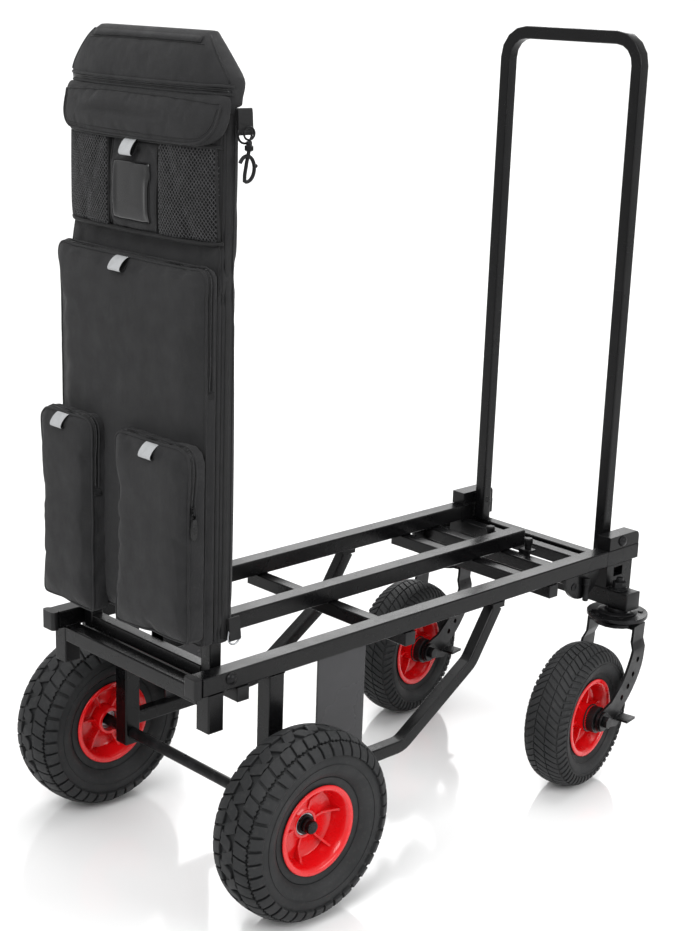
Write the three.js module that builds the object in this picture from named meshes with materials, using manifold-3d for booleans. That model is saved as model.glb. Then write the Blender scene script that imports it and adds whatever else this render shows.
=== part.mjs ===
// Folding, telescoping equipment cart with two pneumatic drive wheels, two braked swivel
// casters, a fold-down push handle at each end and an organiser bag on the front handle.
// Millimetres. +X runs from the front (bag) end to the rear (caster) end, +Y to the right
// side of the cart, +Z up. The origin is on the ground at the centre of the outline.
import * as THREE from 'three';
import { mergeVertices } from 'three/addons/utils/BufferGeometryUtils.js';
import Module from 'manifold-3d';

const wasm = await Module();
wasm.setup();

// ---- driving dimensions ----------------------------------------------------
const GAP = 0.3;                 // clearance between touching pieces
const DECK_TOP = 344;            // height of the deck rails' top faces
const TUBE = 25;                 // side of the square frame tube
const WALL = 1.6;                // wall of the frame tube
const HALF_WIDTH = 166;          // centre line to the outer face of a side rail
const RAIL_FRONT = -4;           // front end of the side rails
const RAIL_END = 802.4;          // where the fixed side rails end
const FRAME_END = 879;           // rear end of the sliding frame
const CENTRE_RAIL = { front: 53, back: 784 };
const FRONT_OFFSET = 428.5;      // front bar's face to the centre of the outline

const DRIVE = { x: 119, y: 220, radius: 130, width: 82, rim: 62 };
const CASTER = { x: 816, y: 182, trail: 110, yaw: 9.5, radius: 111.5, width: 68, rim: 61 };
const HANDLE = { half: 135.2, tube: 19, wall: 1.5, corner: 48, above: 764 };
const FRONT_PIVOT = { x: 41, z: 334, below: 15 };
const REAR_PIVOT = { x: 837, z: 355, below: 33 };
const PIVOT_HOLE = 4.2;          // radius of the holes for the handles' pivot bolts
const INNER = 20.6;              // side of the tubes that slide inside the rails
const INNER_FRONT = 203;         // front end of the sliding tubes when closed
const BEAM = { x: 820, top: 284, w: 32, h: 28, half: 205 };
const SWIVEL_TOP = 248.7;        // top face of the casters' swivel plates
const LUG = { x: 746, radius: 40 };

const LOWER_TUBE_Z = 147;        // centre line of the horizontal run of the side brace
const BRACE = 19;                // side of the bent brace tube
const AXLE = { radius: 8, half: 241 };
const HUB = 20;                  // outer radius of a wheel's hub
const BEARING = { bore: 8.4, outer: 15, width: 10 };
const CROSS_TUBE = 20;           // side of the cross tubes under the rails
const FRONT_BAR = { x: 16.5, z: 310, deep: 23, high: 22 };
const FORK = { crown: 236, inner: 42, plate: 4, end: 17 };
const HOOK = { x: 58, y: -163, z: 1008 };
const BAG = { back: 57, split: 24, bottom: 374, half: 150, shoulder: 158, top: 1116 };

// ---- finishes --------------------------------------------------------------
const FINISH = {
  frame: { color: 0x1d1e20, roughness: 0.42, metalness: 0.3 },
  steel: { color: 0xa9abad, roughness: 0.35, metalness: 0.9 },
  darkSteel: { color: 0x2a2b2d, roughness: 0.4, metalness: 0.8 },
  plastic: { color: 0x232426, roughness: 0.5, metalness: 0 },
  tyre: { color: 0x2c2d2f, roughness: 0.85, metalness: 0 },
  rim: { color: 0xd9151a, roughness: 0.3, metalness: 0 },
  fabric: { color: 0x34363a, roughness: 0.95, metalness: 0 },
};

// ---- scene graph helpers ---------------------------------------------------
const cart = new THREE.Group();
cart.position.x = -FRONT_OFFSET;

function place(name, geometry, finish, parent = cart, at = [0, 0, 0]) {
  const mesh = new THREE.Mesh(geometry, new THREE.MeshStandardMaterial(FINISH[finish]));
  mesh.name = name;
  mesh.position.set(...at);
  parent.add(mesh);
  return mesh;
}

// ---- solids and booleans ---------------------------------------------------
function solid(geometry) {
  const bare = geometry.index ? geometry.toNonIndexed() : geometry.clone();
  bare.deleteAttribute('normal');
  bare.deleteAttribute('uv');
  const merged = mergeVertices(bare, 1e-3);
  const vertProperties = new Float32Array(merged.attributes.position.array);
  const triVerts = new Uint32Array(merged.index.array);
  const body = new wasm.Manifold(new wasm.Mesh({ numProp: 3, vertProperties, triVerts }));
  return body;
}

function geometryOf(body) {
  const mesh = body.getMesh();
  const geometry = new THREE.BufferGeometry();
  geometry.setAttribute('position', new THREE.BufferAttribute(mesh.vertProperties, 3));
  geometry.setIndex(new THREE.BufferAttribute(mesh.triVerts, 1));
  return geometry;
}

function joined(...geometries) {
  return geometryOf(geometries.map(solid).reduce((whole, next) => whole.add(next)));
}

function cutFrom(geometry, ...cutters) {
  return geometryOf(cutters.map(solid).reduce((left, next) => left.subtract(next), solid(geometry)));
}

// ---- basic shapes ----------------------------------------------------------
function roundedRect(w, h, r) {
  const shape = new THREE.Shape();
  shape.moveTo(-w / 2 + r, -h / 2);
  shape.lineTo(w / 2 - r, -h / 2);
  shape.absarc(w / 2 - r, -h / 2 + r, r, -Math.PI / 2, 0);
  shape.lineTo(w / 2, h / 2 - r);
  shape.absarc(w / 2 - r, h / 2 - r, r, 0, Math.PI / 2);
  shape.lineTo(-w / 2 + r, h / 2);
  shape.absarc(-w / 2 + r, h / 2 - r, r, Math.PI / 2, Math.PI);
  shape.lineTo(-w / 2, -h / 2 + r);
  shape.absarc(-w / 2 + r, -h / 2 + r, r, Math.PI, Math.PI * 1.5);
  return shape;
}

function tubeSection(w, h, wall) {
  const shape = roundedRect(w, h, 2.2);
  const [x, y] = [w / 2 - wall, h / 2 - wall];
  shape.holes.push(new THREE.Path([[-x, -y], [-x, y], [x, y], [x, -y]].map((p) => new THREE.Vector2(...p))));
  return shape;
}

// A prism of a shape drawn in the plane across one axis, from low to high along that axis.
function prism(shape, axis, low, high, segments = 2) {
  const geometry = new THREE.ExtrudeGeometry(shape, {
    depth: high - low, bevelEnabled: false, curveSegments: segments,
  });
  geometry.translate(0, 0, axis === 'y' ? -high : low);
  const turn = {
    x: [0, 0, 1, 0, 1, 0, 0, 0, 0, 1, 0, 0, 0, 0, 0, 1],
    y: [1, 0, 0, 0, 0, 0, -1, 0, 0, 1, 0, 0, 0, 0, 0, 1],
    z: [1, 0, 0, 0, 0, 1, 0, 0, 0, 0, 1, 0, 0, 0, 0, 1],
  }[axis];
  geometry.applyMatrix4(new THREE.Matrix4().set(...turn));
  return geometry;
}

function polygon(points) {
  return new THREE.Shape(points.map(([x, y]) => new THREE.Vector2(x, y)));
}

// A block between two corners.
function block(low, high) {
  const geometry = new THREE.BoxGeometry(...high.map((value, i) => value - low[i]));
  geometry.translate(...high.map((value, i) => (value + low[i]) / 2));
  return geometry;
}

function cylinderY(radius, y0, y1, x = 0, z = 0, sides = 24) {
  const geometry = new THREE.CylinderGeometry(radius, radius, y1 - y0, sides);
  geometry.translate(x, (y0 + y1) / 2, z);
  return geometry;
}

function cylinderZ(radius, z0, z1, x = 0, y = 0, sides = 24) {
  const geometry = new THREE.CylinderGeometry(radius, radius, z1 - z0, sides);
  geometry.rotateX(Math.PI / 2);
  geometry.translate(x, y, (z0 + z1) / 2);
  return geometry;
}

// A route through given points, stepped point by point, for bent tubes.
class Route extends THREE.Curve {
  constructor(points) {
    super();
    this.points = points;
  }

  getPoint(t) {
    const along = t * (this.points.length - 1);
    const i = Math.min(Math.floor(along), this.points.length - 2);
    return this.points[i].clone().lerp(this.points[i + 1], along - i);
  }

  getPointAt(u) {
    return this.getPoint(u);
  }

  getTangentAt(u) {
    return this.getTangent(u);
  }
}

// Points of a polyline whose inner corners are rounded to a radius.
function roundedRoute(corners, radius, steps) {
  const points = [corners[0]];
  for (let i = 1; i < corners.length - 1; i += 1) {
    const here = corners[i];
    const back = corners[i - 1].clone().sub(here).normalize();
    const ahead = corners[i + 1].clone().sub(here).normalize();
    const half = back.angleTo(ahead) / 2;
    const reach = radius / Math.tan(half);
    const middle = back.clone().add(ahead).normalize();
    const centre = here.clone().addScaledVector(middle, radius / Math.sin(half));
    const start = here.clone().addScaledVector(back, reach).sub(centre);
    const end = here.clone().addScaledVector(ahead, reach).sub(centre);
    const sweep = start.angleTo(end);
    for (let s = 0; s <= steps; s += 1) {
      const t = s / steps;
      const a = Math.sin((1 - t) * sweep) / Math.sin(sweep);
      const b = Math.sin(t * sweep) / Math.sin(sweep);
      points.push(centre.clone().addScaledVector(start, a).addScaledVector(end, b));
    }
  }
  points.push(corners.at(-1));
  return points;
}

function bentTube(section, points) {
  return new THREE.ExtrudeGeometry(section, {
    steps: points.length - 1, curveSegments: 1, extrudePath: new Route(points),
  });
}

// ---- frame tubes -----------------------------------------------------------
function railAlongX(name, y, z, x0, x1) {
  return place(name, prism(tubeSection(TUBE, TUBE, WALL), 'x', x0, x1), 'frame', cart, [0, y, z]);
}

function tubeAlongY(name, x, z, y0, y1, w = TUBE, h = TUBE) {
  return place(name, prism(tubeSection(w, h, WALL), 'y', y0, y1), 'frame', cart, [x, 0, z]);
}

function tubeAlongZ(name, x, y, z0, z1) {
  return place(name, prism(tubeSection(TUBE, TUBE, WALL), 'z', z0, z1), 'frame', cart, [x, y, 0]);
}

const railY = HALF_WIDTH - TUBE / 2;
const railZ = DECK_TOP - TUBE / 2;
const underRail = DECK_TOP - TUBE - GAP;
const crossZ = underRail - CROSS_TUBE / 2;
const innerFace = HALF_WIDTH - TUBE - GAP;
const LUG_INNER = HALF_WIDTH - 9;
const SIDES = [['left', -1], ['right', 1]];

function fixedFrame() {
  for (const [side, s] of SIDES) {
    sideRail(side, s);
    cornerCap(side, s);
    tubeAlongZ(`corner_post_${side}`, 17, s * railY, 269, underRail);
    sidePost(side, s);
    sideBrace(side, s);
    sidePlate(side, s);
    pivotBolt(`front_pivot_bolt_${side}`, s, FRONT_PIVOT);
  }
  railAlongX('centre_rail', 0, railZ, CENTRE_RAIL.front, CENTRE_RAIL.back);
  tubeAlongY('front_bar', FRONT_BAR.x, FRONT_BAR.z, -innerFace, innerFace, FRONT_BAR.deep, FRONT_BAR.high);
  for (const [name, x] of [['front', 60.5], ['middle', 364], ['back', 673]]) {
    crossTube(name, x, HALF_WIDTH);
  }
  crossTube('lock', 741, LUG_INNER - GAP);
  const shaft = cylinderY(AXLE.radius, -AXLE.half, AXLE.half, 0, 0, 20);
  place('axle_shaft', shaft, 'darkSteel', cart, [DRIVE.x, 0, DRIVE.radius]);
}

function crossTube(name, x, half) {
  tubeAlongY(`cross_tube_${name}`, x, crossZ, -half, half, CROSS_TUBE, CROSS_TUBE);
}

// Side rail with the front handle's pivot hole and a half-round lug welded under its rear end.
function sideRail(side, s) {
  const tube = prism(tubeSection(TUBE, TUBE, WALL), 'x', RAIL_FRONT, RAIL_END);
  const hole = cylinderY(PIVOT_HOLE, -TUBE, TUBE, FRONT_PIVOT.x, FRONT_PIVOT.z - railZ, 16);
  const disc = new THREE.Shape();
  disc.absarc(0, 0, LUG.radius, Math.PI, Math.PI * 2);
  const lug = prism(disc, 'y', -3, 3, 8);
  lug.translate(LUG.x, s * (LUG_INNER + 3 - railY), -TUBE / 2 + 0.5);
  place(`side_rail_${side}`, cutFrom(joined(tube, lug), hole), 'frame', cart, [0, s * railY, railZ]);
}

// Rounded plastic cap over the front end of a side rail.
function cornerCap(side, s) {
  const shell = prism(roundedRect(12, 26, 5), 'z', DECK_TOP - TUBE - 0.5, DECK_TOP + 0.5, 4);
  const plug = block([3, -10, DECK_TOP - 22.4], [28, 10, DECK_TOP - 2.6]);
  place(`corner_cap_${side}`, joined(shell, plug), 'plastic', cart, [RAIL_FRONT - GAP - 6, s * railY, 0]);
}

// Upright tube from the side rail down past the axle, which passes through its foot.
function sidePost(side, s) {
  const foot = DRIVE.radius - TUBE / 2 - 3;
  const tube = prism(tubeSection(TUBE, TUBE, WALL), 'z', foot, underRail);
  const hole = cylinderY(AXLE.radius + 0.3, -TUBE, TUBE, 0, DRIVE.radius, 20);
  place(`side_post_${side}`, cutFrom(tube, hole), 'frame', cart, [DRIVE.x, s * railY, 0]);
}

// Bent tube that runs back from the upright at axle height and rises to the side rail.
function sideBrace(side, s) {
  const corners = [
    [DRIVE.x + TUBE / 2 + GAP, LOWER_TUBE_Z],
    [362, LOWER_TUBE_Z],
    [500, 237],
    [549, underRail - 6],
  ].map(([x, z]) => new THREE.Vector3(x, 0, z));
  const tube = bentTube(roundedRect(BRACE, BRACE, 2.2), roundedRoute(corners, 34, 3));
  const foot = block([537, -BRACE / 2, underRail - 8], [562, BRACE / 2, underRail]);
  place(`side_brace_${side}`, joined(tube, foot), 'frame', cart, [0, s * (HALF_WIDTH - BRACE / 2), 0]);
}

// Flat plate that closes part of the side between the rail and the brace.
function sidePlate(side, s) {
  const low = LOWER_TUBE_Z + BRACE / 2 + GAP;
  const plate = prism(roundedRect(87, underRail - low, 1.5), 'y', -1.5, 1.5, 1);
  place(`side_plate_${side}`, plate, 'frame', cart, [237, s * (HALF_WIDTH - 4), (low + underRail) / 2]);
}

// Domed bolt that pins a handle's foot to the frame beside it.
function pivotBolt(name, s, pivot) {
  const profile = [[0, 0], [8.6, 0], [7.2, 3], [4, 4.8], [0, 5.4]];
  const dome = new THREE.LatheGeometry(profile.map(([r, h]) => new THREE.Vector2(r, h)), 16);
  dome.translate(0, HALF_WIDTH + GAP, 0);
  const shank = cylinderY(3.9, HANDLE.half - HANDLE.tube, HALF_WIDTH + 1, 0, 0, 16);
  const bolt = joined(dome, shank);
  if (s < 0) bolt.rotateX(Math.PI);
  place(name, bolt, 'darkSteel', cart, [pivot.x, 0, pivot.z]);
}

// ---- sliding rear frame ----------------------------------------------------
function slidingFrame() {
  for (const [side, s] of SIDES) {
    slideRail(side, s);
    handleBlock(side, s);
    swivelPlate(side, s);
    pivotBolt(`rear_pivot_bolt_${side}`, s, REAR_PIVOT);
  }
  for (const [name, x] of [['front', 812], ['back', 846]]) {
    crossTube(`slide_${name}`, x, innerFace);
  }
  const beam = prism(tubeSection(BEAM.w, BEAM.h, WALL), 'y', -BEAM.half, BEAM.half);
  place('caster_beam', beam, 'frame', cart, [BEAM.x, 0, BEAM.top - BEAM.h / 2]);
}

// Inner tube that slides in a side rail, with the full-size sleeve and the slotted bracket
// that carries the caster beam welded to its end.
function slideRail(side, s) {
  const inner = prism(tubeSection(INNER, INNER, WALL), 'x', INNER_FRONT, FRAME_END);
  const sleeve = prism(tubeSection(TUBE, TUBE, 2.6), 'x', RAIL_END + 0.6, FRAME_END);
  const beamBack = BEAM.x + BEAM.w / 2 + GAP;
  const top = DECK_TOP - TUBE + 0.5;
  const outline = polygon([
    [803, top], [803, BEAM.top + GAP], [beamBack, BEAM.top + GAP], [beamBack, 270], [865, 270], [866, top],
  ]);
  const bracket = prism(outline, 'y', -TUBE / 2, TUBE / 2);
  bracket.translate(0, 0, -railZ);
  const slot = block([820, -TUBE, 300 - railZ], [842, TUBE, 315 - railZ]);
  const whole = cutFrom(joined(inner, sleeve, bracket), slot);
  place(`slide_rail_${side}`, whole, 'frame', cart, [0, s * railY, railZ]);
}

// Block on top of the rail's end that the rear handle is pinned to.
function handleBlock(side, s) {
  const [x0, x1, z0, z1] = [806, FRAME_END, DECK_TOP + GAP, DECK_TOP + 21];
  const outline = new THREE.Shape();
  outline.moveTo(x0, z0);
  outline.lineTo(x1, z0);
  outline.lineTo(x1, z1 - 9);
  outline.absarc(x1 - 9, z1 - 9, 9, 0, Math.PI / 2);
  outline.lineTo(x0, z1);
  const bar = prism(outline, 'y', -TUBE / 2, TUBE / 2, 3);
  const hole = cylinderY(PIVOT_HOLE, -TUBE, TUBE, REAR_PIVOT.x, REAR_PIVOT.z, 16);
  place(`handle_block_${side}`, cutFrom(bar, hole), 'frame', cart, [0, s * railY, 0]);
}

// Round top plate of a caster with its upper bearing race and the boss that meets the beam.
function swivelPlate(side, s) {
  const boss = BEAM.top - BEAM.h - GAP - SWIVEL_TOP;
  const profile = [[0, -11], [31, -11], [34, -6], [47.5, -5.5], [47.5, 0], [16, 0], [16, boss], [0, boss]];
  const plate = new THREE.LatheGeometry(profile.map(([r, z]) => new THREE.Vector2(r, z)), 24);
  plate.rotateX(Math.PI / 2);
  place(`swivel_plate_${side}`, plate, 'darkSteel', cart, [CASTER.x, s * CASTER.y, SWIVEL_TOP]);
}

// ---- handles ---------------------------------------------------------------
// Centre line of a U handle: up one post from foot height, across the grip and down.
function handleRoute(pivot, foot) {
  const y = HANDLE.half - HANDLE.tube / 2;
  const crown = pivot.z + HANDLE.above - HANDLE.tube / 2;
  const corners = [[-y, foot], [-y, crown], [y, crown], [y, foot]];
  const points = corners.map(([across, z]) => new THREE.Vector3(0, across, z));
  return roundedRoute(points, HANDLE.corner - HANDLE.tube / 2, 4);
}

function uHandle(name, pivot) {
  const route = handleRoute(pivot, pivot.z - pivot.below);
  const tube = bentTube(tubeSection(HANDLE.tube, HANDLE.tube, HANDLE.wall), route);
  const hole = cylinderY(PIVOT_HOLE, -HANDLE.half - 1, HANDLE.half + 1, 0, pivot.z, 16);
  place(name, cutFrom(tube, hole), 'frame', cart, [pivot.x, 0, 0]);
}

// Tube that ties the front handle's two posts together at the deck.
function footTube() {
  const half = HANDLE.half - HANDLE.tube - GAP;
  const { tube, wall } = HANDLE;
  const section = tubeSection(tube, tube, wall);
  place('front_handle_tie', prism(section, 'y', -half, half), 'frame', cart, [FRONT_PIVOT.x, 0, 328.5]);
}

// ---- wheels ----------------------------------------------------------------
// Closed ring section of a tyre: a rounded carcass from bead to bead.
function tyreProfile(wheel, beadRadius, beadHalf) {
  const middle = (wheel.radius + beadRadius) / 2 + 2;
  const high = wheel.radius - middle;
  const half = wheel.width / 2;
  const points = [];
  const steps = 7;
  const reach = Math.PI * 0.74;
  for (let i = 0; i <= steps; i += 1) {
    const a = -reach + (2 * reach * i) / steps;
    const bulge = Math.sign(Math.sin(a)) * Math.abs(Math.sin(a)) ** 0.8;
    const crown = Math.sign(Math.cos(a)) * Math.abs(Math.cos(a)) ** 0.75;
    points.push(new THREE.Vector2(middle + high * crown, half * bulge));
  }
  for (const [r, y] of [[wheel.rim + 1, 1], [beadRadius, 1], [beadRadius, -1], [wheel.rim + 1, -1]]) {
    points.push(new THREE.Vector2(r, y * (beadHalf - 0.5)));
  }
  points.push(points[0].clone());
  return points;
}

function ring(points, segments) {
  return new THREE.LatheGeometry(points.map((p) => (p.isVector2 ? p : new THREE.Vector2(...p))), segments);
}

// Deep-dish one-piece rim: flanged barrel, web at the centre plane and a bored hub.
function rimGeometry(wheel, bore, hubOut, hubIn, beadHalf, segments) {
  const lip = beadHalf + 3.5;
  const seat = wheel.rim - 4.5;
  const profile = [
    [bore, -hubOut], [HUB, -hubOut], [HUB, -3], [seat - 7, -3], [wheel.rim - 3, -lip], [wheel.rim, -lip],
    [wheel.rim, -beadHalf - 0.6], [seat, -beadHalf - 0.6], [seat, beadHalf + 0.6],
    [wheel.rim, beadHalf + 0.6], [wheel.rim, lip], [wheel.rim - 3, lip], [seat - 7, 3], [HUB, 3],
    [HUB, hubIn], [bore, hubIn], [bore, -hubOut],
  ];
  return ring(profile, segments);
}

function driveWheels() {
  const beadHalf = 29;
  for (const [side, s] of SIDES) {
    const at = [DRIVE.x, s * DRIVE.y, DRIVE.radius];
    const tyre = ring(tyreProfile(DRIVE, DRIVE.rim - 4, beadHalf), 32);
    place(`drive_tyre_${side}`, tyre, 'tyre', cart, at);
    const rim = rimGeometry(DRIVE, BEARING.outer + GAP, 6, 26, beadHalf, 24);
    if (s > 0) rim.rotateX(Math.PI);
    place(`drive_rim_${side}`, rim, 'rim', cart, at);
    const { bore, outer, width } = BEARING;
    const race = [[bore, -width], [outer, -width], [outer, width], [bore, width], [bore, -width]];
    const bearing = ring(race, 20);
    if (s > 0) bearing.rotateX(Math.PI);
    bearing.translate(0, -s * (width - 5.5), 0);
    place(`drive_bearing_${side}`, bearing, 'steel', cart, at);
  }
}

// ---- casters ---------------------------------------------------------------
function caster(side, s) {
  const group = new THREE.Group();
  group.position.set(CASTER.x, s * CASTER.y, 0);
  group.rotation.z = THREE.MathUtils.degToRad(CASTER.yaw);
  cart.add(group);
  place(`caster_fork_${side}`, forkGeometry(), 'darkSteel', group);
  const hub = [-CASTER.trail, 0, CASTER.radius];
  const beadHalf = 23;
  const tyre = ring(tyreProfile(CASTER, CASTER.rim - 4, beadHalf), 28);
  place(`caster_tyre_${side}`, tyre, 'tyre', group, hub);
  place(`caster_rim_${side}`, rimGeometry(CASTER, 6.3, 38, 38, beadHalf, 24), 'rim', group, hub);
  const shank = cylinderY(6, -55, 55, 0, 0, 16);
  const nuts = [-1, 1].map((e) => cylinderY(9.5, e * 53.4 - 3.5, e * 53.4 + 3.5, 0, 0, 6));
  place(`caster_axle_${side}`, joined(shank, ...nuts), 'steel', group, hub);
  place(`brake_pedal_${side}`, pedalGeometry(), 'darkSteel', group, hub);
}

// Crown plate with its lower race and two drilled legs that sweep back to the axle.
function forkGeometry() {
  const hubX = -CASTER.trail;
  const hubZ = CASTER.radius;
  const side = new THREE.Shape();
  side.moveTo(-18, FORK.crown);
  side.splineThru([[-20, 215], [-28, 190], [-50, 158], [-84, 134]].map((p) => new THREE.Vector2(...p)));
  side.lineTo(hubX, hubZ + FORK.end);
  side.absarc(hubX, hubZ, FORK.end, Math.PI / 2, Math.PI * 1.5);
  side.splineThru([[-66, 106], [-26, 128], [6, 165], [14, 203], [17, FORK.crown]]
    .map((p) => new THREE.Vector2(...p)));
  const profile = prism(side, 'y', -60, 60, 3);
  const [inner, outer, narrow] = [FORK.inner, FORK.inner + FORK.plate, FORK.inner - 5];
  const half = [
    [narrow, FORK.crown + 1], [narrow + FORK.plate, FORK.crown + 1], [narrow + FORK.plate, 211],
    [outer, 199], [outer, 60], [inner, 60], [inner, 200.5], [narrow, 212.5],
  ];
  const legs = [-1, 1].map((e) => {
    const section = polygon(half.map(([y, z]) => [e * y, z]));
    return solid(prism(section, 'x', -150, 50)).intersect(solid(profile));
  });
  const crown = block([-18, -narrow - FORK.plate, FORK.crown - 5], [17, narrow + FORK.plate, FORK.crown]);
  const disc = cylinderZ(36, FORK.crown - 4, FORK.crown + 1.5, 0, 0, 16);
  let fork = solid(crown).add(solid(disc)).add(legs[0]).add(legs[1]);
  for (const [x, z] of [[-8, 182], [-20, 161], [-34, 145], [-52, 132]]) {
    fork = fork.subtract(solid(cylinderY(4.8, -60, 60, x, z, 8)));
  }
  fork = fork.subtract(solid(cylinderY(6.3, -60, 60, hubX, hubZ, 16)));
  return geometryOf(fork);
}

// Foot lever on the axle end: a plate round the axle, an arm to the rear and a tread.
function pedalGeometry() {
  const y = -(FORK.inner + FORK.plate + 0.4);
  const arm = new THREE.Shape();
  arm.absarc(0, 0, 15, Math.PI * 0.35, Math.PI * 1.7);
  arm.lineTo(40, -20);
  arm.lineTo(58, -12);
  arm.lineTo(54, -5);
  arm.lineTo(30, -6);
  const plate = prism(arm, 'y', y - 3, y, 6);
  const tread = block([40, y - 21, -11], [66, y - 0.5, -7.5]);
  const bore = cylinderY(6.4, y - 5, y + 2, 0, 0, 12);
  return cutFrom(joined(plate, tread), bore);
}

// ---- bag -------------------------------------------------------------------
function bag() {
  const outline = polygon([
    [-BAG.half, BAG.bottom], [BAG.half, BAG.bottom], [BAG.half, 985], [BAG.shoulder, 1010],
    [BAG.shoulder, 1052], [109, BAG.top], [-109, BAG.top], [-BAG.shoulder, 1052],
    [-BAG.shoulder, 1010], [-BAG.half, 985],
  ]);
  const slab = prism(outline, 'x', BAG.split, BAG.back);
  const room = HANDLE.tube + 1.2;
  const sleeve = bentTube(roundedRect(room, room, 1), handleRoute(FRONT_PIVOT, BAG.bottom - 60));
  sleeve.translate(FRONT_PIVOT.x, 0, 0);
  place('bag_body', cutFrom(slab, sleeve), 'fabric');
  const front = BAG.split - GAP;
  pouch('bag_flap', [6, front], [-153, 153], [988, 1049], 24);
  pouch('mesh_panel', [9, front], [-146, 146], [876, 984], 4);
  pouch('big_pocket', [4, front], [-148, 148], [377, 850], 16);
  const lower = 4 - GAP;
  pouch('lower_pocket_right', [-22, lower], [40, 152], [379, 637], 14);
  pouch('lower_pocket_left', [-22, lower], [-154, -4], [379, 635], 14);
  zipPull('zip_pull_left', -154);
  zipPull('zip_pull_right', 40);
  snapHook();
}

// Flat zip puller on the left side of a lower pocket.
function zipPull(name, sideY) {
  const tag = prism(roundedRect(7, 34, 2.5), 'y', sideY - GAP - 2.4, sideY - GAP, 2);
  place(name, tag, 'darkSteel', cart, [-14, 0, 560]);
}

// Snap hook that hangs beside the bag: an eye, a shank and a hook ring.
function snapHook() {
  const link = (radius, hole, x, z) => {
    const shape = new THREE.Shape();
    shape.absarc(x, z, radius, 0, Math.PI * 2);
    shape.holes.push(new THREE.Path().absarc(x, z, hole, 0, Math.PI * 2, true));
    return prism(shape, 'y', -2, 2, 6);
  };
  const shank = prism(roundedRect(8, 30, 2), 'y', -2, 2, 2);
  shank.translate(0, 0, -22);
  const hook = joined(link(8, 5, 0, 0), shank, link(14, 9.5, -3, -48));
  place('snap_hook', hook, 'darkSteel', cart, [HOOK.x, HOOK.y, HOOK.z]);
}

// Flat pouch with rounded corners, given its reach along each axis.
function pouch(name, [x0, x1], [y0, y1], [z0, z1], radius) {
  const outline = roundedRect(y1 - y0, z1 - z0, radius);
  place(name, prism(outline, 'x', x0, x1, 3), 'fabric', cart, [0, (y0 + y1) / 2, (z0 + z1) / 2]);
}

fixedFrame();
slidingFrame();
uHandle('front_handle', FRONT_PIVOT);
footTube();
uHandle('rear_handle', REAR_PIVOT);
driveWheels();
for (const [side, s] of SIDES) {
  caster(side, s);
}
bag();

export default cart;
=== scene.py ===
# Looks of the folding equipment cart: tyres with cut tread, dished rims, powder-coated tube and the
# sewn organiser bag. Lengths are millimetres, with x from the front bar's face, unless a line says metres.
import math
import random

import bmesh
import bpy
import numpy as np
from mathutils import Matrix, Vector
from mathutils.bvhtree import BVHTree


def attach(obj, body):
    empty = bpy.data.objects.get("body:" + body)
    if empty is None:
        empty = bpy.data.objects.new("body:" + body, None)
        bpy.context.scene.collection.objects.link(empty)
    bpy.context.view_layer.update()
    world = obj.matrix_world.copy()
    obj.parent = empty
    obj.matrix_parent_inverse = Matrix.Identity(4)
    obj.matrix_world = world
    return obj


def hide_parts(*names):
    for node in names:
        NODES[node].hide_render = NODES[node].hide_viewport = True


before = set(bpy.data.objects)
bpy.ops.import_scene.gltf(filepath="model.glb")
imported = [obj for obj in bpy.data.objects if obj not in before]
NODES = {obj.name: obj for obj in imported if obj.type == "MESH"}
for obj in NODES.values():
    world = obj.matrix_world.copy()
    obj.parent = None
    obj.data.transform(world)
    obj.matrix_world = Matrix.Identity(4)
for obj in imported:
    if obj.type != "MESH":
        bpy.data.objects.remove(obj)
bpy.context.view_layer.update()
MM = 0.001
SIDES = (("left", -1), ("right", 1))
rng = random.Random(7)

FRONT = 428.5                      # from the frame's origin to the front bar's face
RAIL_Y, RAIL_UNDER = 153.5, 319    # middle and underside of a side rail
RAIL_MIDDLE = 331.5
DRIVE_RADIUS, DRIVE_Y = 130, 220
AXLE_X, AXLE_Z = 119, DRIVE_RADIUS
DRIVE_RIM, DRIVE_BEAD = 62, 29     # flange radius and half the width between the beads
CASTER_RIM, CASTER_BEAD = 61, 23
HUB = 20
RIBS = 6
KING_X, CASTER_Y = 816, 182        # a caster's swivel axis
CASTER_TRAIL, CASTER_RADIUS = 110, 111.5
CROSS_TUBES = (("front", 60.5), ("middle", 364), ("back", 673))
LOCK_TUBE_X = 741
PLUG_THICKNESS = 2.6
BAG = "bag_handle"
POUCH_LOW, POUCH_HIGH = 876, 988   # the row of pouches under the flap
PUSHED_OUT = Vector((-1, 0, 0))    # the way that the bag's front faces


def at(x, y, z):
    """A point in metres in the object's frame, from millimetres behind the front bar's face."""
    return Vector(((x - FRONT) * MM, y * MM, z * MM))


def shifted(x, y, z):
    return Matrix.Translation(at(x, y, z))


# ---- materials ---------------------------------------------------------------
def linear(value):
    value /= 255.0
    return value / 12.92 if value <= 0.04045 else ((value + 0.055) / 1.055) ** 2.4


def rgb(r, g, b):
    return (linear(r), linear(g), linear(b), 1.0)


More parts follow.
